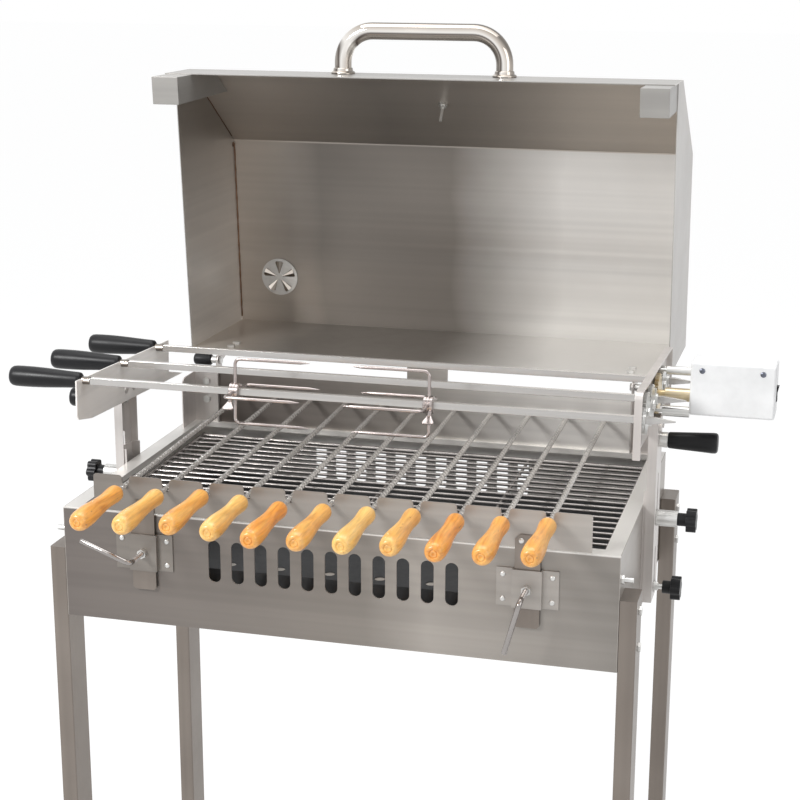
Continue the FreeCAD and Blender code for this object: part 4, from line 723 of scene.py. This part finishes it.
def hood_handle():
    """A polished arch on two turned collars, square to the hood's front strip."""
    foot_x, foot_s, foot_h = 136, 482.8, 36
    tube_radius, corner_radius, rise = 14, 51, 0.070
    out = (on_hood(0, 110, 10) - on_hood(0, 0, 0)).normalized()
    feet = [on_hood(x, foot_s, foot_h) for x in (-foot_x, foot_x)]
    corners = [foot + out * rise for foot in feet]
    points = [feet[0], *bend(corners[0], feet[0], corners[1], corner_radius, 14),
              *bend(corners[1], corners[0], feet[1], corner_radius, 14), feet[1]]
    pieces = [tube(points, tube_radius, 12)]
    collar = [(0, 18.6), (0.7, 19.8), (2.6, 19.8), (4.0, 18.6), (5.0, 16.4), (9.2, 15.8), (10, 15.0),
              (10, 13)]
    pieces += [turned(collar, foot, out, 48) for foot in feet]
    dress(joined(pieces), "hood_handle_tube", "bright", "hood", ("hood_handle",))


def hood_welds():
    """Heat tinted beads in the corners where the left wall meets the roof and the slanted panel."""
    wall = -417.7
    roof = [on_hood(wall, s, ROOF_H + (s + 24) * ROOF_SLOPE - 0.4 * math.sin(s * 0.21))
            for s in range(-16, 318, 6)]
    slanted = [on_hood(wall - 0.4, s, slant_height(s) - 3.4 - 0.3 * math.sin(s * 0.4))
               for s in range(330, 470, 6)]
    shares = [0.8 + 0.2 * math.sin(index * 1.7) * math.sin(index * 0.37) for index in range(len(roof))]
    corner_blob = turned([(0, 4.8), (0.6, 4.4), (1.4, 2.6), (1.8, 0)],
                         on_hood(wall - 0.6, 313, 255.2), (1, 0, 0), 20)
    pieces = [tube(roof, 1.9, 3, shares), tube(slanted, 0.9, 3), corner_blob]
    dress(joined(pieces), "hood_welds", "weld", "hood")


def vent_blades():
    """Five pressed ridges of the vent's disc, wide at its rim."""
    count = 5
    middle = on_hood(-339, 65, 253.4)
    across = Vector((1, 0, 0))
    forward = (on_hood(0, 1, 0) - on_hood(0, 0, 0)).normalized()
    down = (on_hood(0, 0, 0) - on_hood(0, 0, 1)).normalized()
    pieces = []
    for index in range(count):
        turn = math.radians(360 / count * (index + 0.75))
        radial = across * math.cos(turn) - forward * math.sin(turn)
        sideways = radial.cross(down)
        clear_selection()
        bpy.ops.mesh.primitive_cone_add(vertices=3, radius1=0.0085, radius2=0.0012, depth=0.023)
        ridge = bpy.context.object
        ridge.scale = (1, 0.28, 1)
        placed(ridge)
        turn_matrix = Matrix((sideways, down, -radial)).transposed()
        ridge.rotation_euler = turn_matrix.to_euler()
        ridge.location = middle + radial * 0.0185 + down * 0.0006
        placed(ridge)
        pieces.append(soften(ridge, 0.2, 1))
    dress(joined(pieces), "vent_blades", "bright", "vent")


def gauge_face():
    """The thermometer's white face with its marks and needle, under the bezel."""
    gauge_s = 418.6
    normal = (on_hood(0, SLANT_DROP, SLANT_RUN) - on_hood(0, 0, 0)).normalized()
    across = Vector((1, 0, 0))
    up = normal.cross(across)
    middle = on_hood(8, gauge_s, slant_height(gauge_s)) + normal * 0.0126
    face = turned([(0, 26.5), (0.3, 26.8), (0.3, 0)], middle, normal, 48)
    dress(face, "gauge_face", "white", "hood")
    on_face = middle + normal * 0.0003
    marks = []
    steps = 14
    for index in range(steps + 1):
        turn = math.radians(225 - 270 * index / steps)
        radial = across * math.cos(turn) + up * math.sin(turn)
        start, thickness = (0.0205, 0.5) if index % 2 == 0 else (0.0225, 0.3)
        marks.append(tube([on_face + radial * start, on_face + radial * 0.0252], thickness, 1))
    dress(joined(marks), "gauge_marks", "ink", "hood")
    turn = math.radians(210)
    radial = across * math.cos(turn) + up * math.sin(turn)
    over_face = middle + normal * 0.0008
    hand = [tube([over_face - radial * 0.006, over_face + radial * 0.020], 0.7, 2, (1.0, 0.3)),
            turned([(0, 2.6), (1.0, 2.4), (1.3, 0)], on_face, normal, 20)]
    dress(joined(hand), "gauge_needle", "needle", "hood")


def hinge_pins():
    """Pins with a hexagon head and a washer, and a turned black knob on each."""
    hinge_y, hinge_z = BOX_DEPTH - 12, 110
    head = [(0, 6.2), (0.5, 7), (3.6, 7), (4, 6.4)]
    washer = [(0, 5.2), (0.4, 6), (9.6, 6), (10, 5.2)]
    profile = [(0, 7.4), (0.8, 9), (2.4, 10), (27, 10), (29.5, 9.6), (31.2, 8.4), (32, 6.5), (32, 0)]
    steel_pieces = []
    for name, side in SIDES.items():
        axis = (side, 0, 0)
        steel_pieces += [turned(head, at(side * 358, hinge_y, hinge_z), axis, 6, 20),
                         turned([(0, 4), (18.6, 4)], at(side * 358.5, hinge_y, hinge_z), axis, 20),
                         turned(washer, at(side * 366.6, hinge_y, hinge_z), axis, 24)]
        knob = turned(profile, at(side * 376.6, hinge_y, hinge_z), axis, 36)
        dress(knob, f"hinge_knob_{name}", "black", "frame")
    dress(joined(steel_pieces), "hinge_pin_pair", "zinc", "frame", ("hinge_pins",))


# Grate, clamp screws and lifting handles

def cooking_grate():
    """A frame of thick wire, three thin wires under it from front to rear, and eighteen across."""
    x, y0, y1, z = 389.0, 31.0, 499.0, -23.7
    frame_radius, wire_radius = 4, 2.5
    under_spans, across_spans = 4, 19
    pieces = [tube([at(-x, y, z), at(x, y, z)], frame_radius, 4) for y in (y0, y1)]
    pieces += [tube([at(side * x, y0 - 4, z), at(side * x, y1 + 4, z)], frame_radius, 4)
               for side in (-1, 1)]
    for index in range(1, under_spans):
        cross = -x + 2 * x * index / under_spans
        pieces.append(tube([at(cross, y0, z - 1.25), at(cross, y1, z - 1.25)], wire_radius, 3))
    for index in range(1, across_spans):
        y = y0 + (y1 - y0) * index / across_spans
        pieces.append(tube([at(-x, y, z + 1.5), at(x, y, z + 1.5)], wire_radius, 3))
    dress(joined(pieces), "grate_wires", "wire", "grate", ("cooking_grate",))


def clamp_screws():
    """Screws under the rest, each bent into a lever that was left at its own angle."""
    clamp_z, lever_length = -58.5, 0.082
    thread = threaded(3.4, 0.5, 3.95, 1.1, 3.5, 1.25, 32)
    for name, lean in (("left", 111.0), ("right", 15.0)):
        x = SIDES[name] * 290
        turn = math.radians(lean)
        corner = at(x, -57.5, clamp_z)
        end = corner + Vector((-math.sin(turn), 0, -math.cos(turn))) * lever_length
        start = at(x, -5.8, clamp_z)
        curve = bend(corner, start, end, 9)
        along = (end - corner).normalized()
        lever = tube([at(x, -46, clamp_z), *curve, end - along * 0.001, end], 4, 8, (1.0, 0.8))
        screw = turned(thread, start, (0, -1, 0), 20, 60)
        dress(joined([lever, screw]), f"clamp_rod_{name}", "wire", f"clamp_{name}",
              (f"clamp_screw_{name}",))


def lifting_handles():
    """A tapered black grip on a steel collar, and the bolt that holds it to the column."""
    lift_z = 97
    profile = [(12.6, 10.4), (13.2, 11.6), (14.6, 12.3), (30, 13.1), (50, 14.1), (70, 15.1), (79, 15.6),
               (83.5, 15.4), (86, 14.0), (87, 11.6), (87, 0)]
    collar = [(0, 10.8), (0.5, 11.4), (12.2, 11.8), (12.8, 11.2)]
    head = [(0, 6.3), (0.5, 7), (3.6, 7), (4, 6.4)]
    for name, side in SIDES.items():
        body = f"{name}_column"
        axis = (side, 0, 0)
        grip = turned(profile, at(side * 438, COLUMN_Y, lift_z), axis, 44)
        dress(grip, f"lifting_grip_{name}", "black", body, (f"lift_handle_{name}",))
        pieces = [turned(collar, at(side * 438, COLUMN_Y, lift_z), axis, 36),
                  turned(head, at(side * 436, COLUMN_Y, lift_z), (-side, 0, 0), 6, 20),
                  turned([(0, 3.2), (0.6, 4), (11, 4)], at(side * 426, COLUMN_Y, lift_z), axis, 20)]
        dress(joined(pieces), f"lifting_stud_{name}", "zinc", body)


# Spits and forks

def spits():
    """Three square bars with a pointed end, each with a collar and a swelling black grip."""
    grip_x, bar_x, bar_length, bar_side, point, point_side = -424.6, -409.5, 887.5, 10, 34, 2
    profile = [(0, 8.6), (0.7, 10.2), (2.2, 11.6), (6, 12.2), (20, 12.8), (40, 14.0), (60, 15.2),
               (80, 15.9), (98, 16.0), (108, 15.8), (113, 15.0), (115.8, 13.2), (117, 10.4), (117, 0)]
    ring = [(0, 5.2), (0.5, 6), (14.4, 6), (15, 5.2), (15, 4)]
    for name, y in SPIT_YS.items():
        body = f"{name}_spit"
        grip = turned(profile, leaning(grip_x, y, SPIT_Z), (-1, 0, 0), 44)
        dress(grip, f"spit_grip_{name}", "black", body, (f"spit_{name}",))
        bar = square_bar(leaning(bar_x, y, SPIT_Z), (1, 0, 0), bar_side, bar_length, point, point_side,
                         math.pi / 4 - PLATE_LEAN)
        dress(soften(bar, 0.6), f"spit_bar_{name}", "bar", body)
        collar = turned(ring, leaning(grip_x, y, SPIT_Z), (1, 0, 0), 28)
        dress(collar, f"spit_collar_{name}", "bright", body)


def wing(start, along, across, thick):
    """A thumb screw's wing: a small plate drawn out wide and in again."""
    clear_selection()
    bpy.ops.mesh.primitive_plane_add(size=1)
    piece = bpy.context.object
    piece.scale = (0.006, 0.003, 1)
    placed(piece)
    bpy.ops.object.mode_set(mode="EDIT")
    bpy.ops.mesh.select_all(action="SELECT")
    reach = 0.0
    for length, share in ((4, 1.5), (4, 1.5), (4, 1.33), (2, 0.85), (1, 0.66)):
        reach += length / 1000
        bpy.ops.mesh.extrude_region_move(TRANSFORM_OT_translate={"value": (0, 0, length / 1000)})
        bpy.ops.transform.resize(value=(share, 1, 1), center_override=(0, 0, reach))
    bpy.ops.mesh.select_all(action="SELECT")
    bpy.ops.mesh.normals_make_consistent(inside=False)
    bpy.ops.object.mode_set(mode="OBJECT")
    piece.rotation_euler = Matrix((across, thick, along)).transposed().to_euler()
    piece.location = start
    return soften(placed(piece), 0.8, 3)


def forks():
    """Four prongs bent out of a turned hub, with a thumb screw that pinches the spit."""
    places = {"left": -176, "right": 122}
    hub_radius, spread, reach, point = 0.010, 0.049, 0.102, 0.014
    hub = [(0, 9.5), (0.5, 12.2), (1.2, 13), (4.4, 13), (5.0, 12), (5.6, 12), (6.2, 13), (8.8, 13),
           (9.4, 12), (10.0, 12), (10.6, 13), (13.8, 13), (14.5, 12.2), (15, 9.5)]
    thread = threaded(2.6, 0.4, 2.95, 0.9, 2.6, 1.0, 14)
    across = Vector((1, 0, 0))
    for name, side in SIDES.items():
        middle = leaning(places[name], SPIT_YS["front"], SPIT_Z)
        forward = Vector((-side, 0, 0))
        pieces = []
        for quarter in range(4):
            turn = math.pi / 2 * quarter - PLATE_LEAN
            radial = Vector((0, -math.sin(turn), math.cos(turn)))
            corner = middle + radial * spread
            start = middle + radial * hub_radius
            end = corner + forward * reach
            pieces.append(tube([start, *bend(corner, start, end, 8), end, end + forward * point], 2.5, 4,
                               (1.0, 0.16)))
        pieces.append(turned(hub, middle - across * 0.0075, across, 36))
        lean = math.radians(45) + PLATE_LEAN
        along = Vector((0, -math.sin(lean), -math.cos(lean)))
        screw = middle - forward * 0.00375
        pieces.append(turned(thread, screw + along * 0.0074, along, 16, 60))
        pieces.append(wing(screw + along * 0.019, along, across, along.cross(across)))
        dress(joined(pieces), f"fork_wires_{name}", "prong", f"{name}_fork",
              (f"fork_{name}",))


# Skewers

HANDLE_STATIONS = [(1.0, 0.6), (0.9, 1.6), (0.3, 2.2), (0.2, 4.6), (0.8, 5.0), (0.9, 5.7), (0.2, 6.2),
                   (0.1, 8.0), (0.6, 9.6), (2.0, 11.4), (4.5, 13.0), (9, 14.3), (16, 15.0), (26, 15.2),
                   (37, 15.0), (48, 14.3), (60, 13.2), (72, 12.3), (84, 11.7), (95, 11.4), (105, 11.6),
                   (114, 12.2), (122, 12.7), (128, 12.8), (132, 12.4), (135, 11.3), (137, 9.6),
                   (138, 7.6), (138, 4.2)]


def skewers():
    """Eleven twisted square rods with turned handles, each pushed in by its own amount."""
    handle_y, rod_y, rod_length, rod_side, point, point_side, pitch = -166, -29, 563, 6, 16, 1.6, 42.0
    middle_number = (len(SKEWER_PUSHES) + 1) // 2
    axis = (0, math.cos(SKEWER_LEAN), math.sin(SKEWER_LEAN))
    for number, push in enumerate(SKEWER_PUSHES, 1):
        x = SKEWER_MIDDLE + SKEWER_STEP * (number - middle_number)
        node = f"skewer_{number:02d}"
        handle = turned(HANDLE_STATIONS, along_skewer(x, push + handle_y), axis, 40, 55)
        dress(handle, f"skewer_handle_{number:02d}", "beech", node, (node,))
        shaft = square_bar(along_skewer(x, push + rod_y), axis, rod_side, rod_length, point, point_side,
                           0.4 * number, pitch)
        take(shaft)
        bpy.ops.object.shade_smooth_by_angle(angle=math.radians(50))
        dress(shaft, f"skewer_rod_{number:02d}", "skewer", node)


# Motor box

def motor_screws():
    """Two small cross recessed screws in the motor box's front face."""
    face_y, screw_z = 232.2, 212.5
    head = [(0, 4.2), (0.7, 4.2), (1.5, 3.2), (1.9, 1.6), (1.9, 1.2), (1.1, 1.0), (1.1, 0)]
    out = (leaning(0, -1, 0) - leaning(0, 0, 0)).normalized()
    pieces = [turned(head, leaning(x, face_y, screw_z), out, 24) for x in (499, 587)]
    dress(joined(pieces), "motor_box_screws", "screw", "right_column")


for node, (material, width) in DRESSED_NODES.items():
    dressed_node(node, material, width)
skewer_rest()
hood_handle()
hood_welds()
vent_blades()
gauge_face()
hinge_pins()
cooking_grate()
clamp_screws()
lifting_handles()
spits()
forks()
skewers()
motor_screws()


# Stage, light and camera

def seen_factor(tree):
    """One for rays that show the background itself: to the camera, in gloss and through glass."""
    path = add(tree, "ShaderNodeLightPath")
    shown = calculated(tree, "MAXIMUM", path.outputs["Is Camera Ray"], path.outputs["Is Glossy Ray"])
    return calculated(tree, "MAXIMUM", shown, path.outputs["Is Transmission Ray"])


def floor():
    """A pale floor that shows as white and keeps a soft shadow."""
    glow_strength, glow_share = 1.12, 0.82
    clear_selection()
    bpy.ops.mesh.primitive_plane_add(size=60, location=(0, 0, 0))
    piece = bpy.context.object
    piece.name = "floor"
    material, tree, shader = new_material("pale_floor")
    shader.inputs["Base Color"].default_value = (0.86, 0.86, 0.86, 1)
    shader.inputs["Roughness"].default_value = 0.9
    glow = add(tree, "ShaderNodeEmission")
    glow.inputs["Color"].default_value = (1, 1, 1, 1)
    glow.inputs["Strength"].default_value = glow_strength
    mix = add(tree, "ShaderNodeMixShader")
    tree.links.new(calculated(tree, "MULTIPLY", seen_factor(tree), glow_share), mix.inputs[0])
    tree.links.new(shader.outputs[0], mix.inputs[1])
    tree.links.new(glow.outputs[0], mix.inputs[2])
    tree.links.new(mix.outputs[0], tree.nodes["Material Output"].inputs["Surface"])
    piece.data.materials.append(material)


def sky():
    """A dim studio that lights the grill, and a white one that shows behind it and in its gloss."""
    world = bpy.data.worlds.new("studio")
    bpy.context.scene.world = world
    world.use_nodes = True
    tree = world.node_tree
    tree.nodes.clear()
    out = add(tree, "ShaderNodeOutputWorld")
    lit = add(tree, "ShaderNodeBackground")
    lit.inputs["Color"].default_value = (0.96, 0.98, 1.0, 1)
    lit.inputs["Strength"].default_value = 0.42
    seen = add(tree, "ShaderNodeBackground")
    seen.inputs["Color"].default_value = (1, 1, 1, 1)
    seen.inputs["Strength"].default_value = 1.0
    mix = add(tree, "ShaderNodeMixShader")
    tree.links.new(seen_factor(tree), mix.inputs[0])
    tree.links.new(lit.outputs[0], mix.inputs[1])
    tree.links.new(seen.outputs[0], mix.inputs[2])
    tree.links.new(mix.outputs[0], out.inputs["Surface"])


def lamp(name, place, target, size, power):
    data = bpy.data.lights.new(name, "AREA")
    data.shape = "RECTANGLE"
    data.size, data.size_y = size
    data.energy = power
    lamp_object = bpy.data.objects.new(name, data)
    bpy.context.collection.objects.link(lamp_object)
    lamp_object.location = place
    lamp_object.rotation_euler = (Vector(target) - Vector(place)).to_track_quat("-Z", "Y").to_euler()


def camera():
    """The photograph's viewpoint: a little right of the middle, above the rim."""
    data = bpy.data.cameras.new("viewpoint")
    data.lens = 79.08
    data.sensor_width = 36
    viewpoint = bpy.data.objects.new("viewpoint", data)
    bpy.context.collection.objects.link(viewpoint)
    viewpoint.location = at(715.5, -2295.5, 830.9)
    viewpoint.rotation_euler = (math.radians(90 - 14.819), math.radians(-0.115), math.radians(14.965))
    bpy.context.scene.camera = viewpoint


floor()
sky()
lamp("key_left", (-2.2, -2.9, 3.1), (0, 0, 0.9), (1.1, 0.9), 125)
lamp("fill_right", (3.2, -1.6, 2.2), (0, 0, 0.9), (2.0, 2.0), 22)
lamp("overhead", (0, 0.2, 3.6), (0, 0, 0.8), (3.0, 2.0), 55)
camera()
bpy.context.scene.view_settings.view_transform = "Standard"
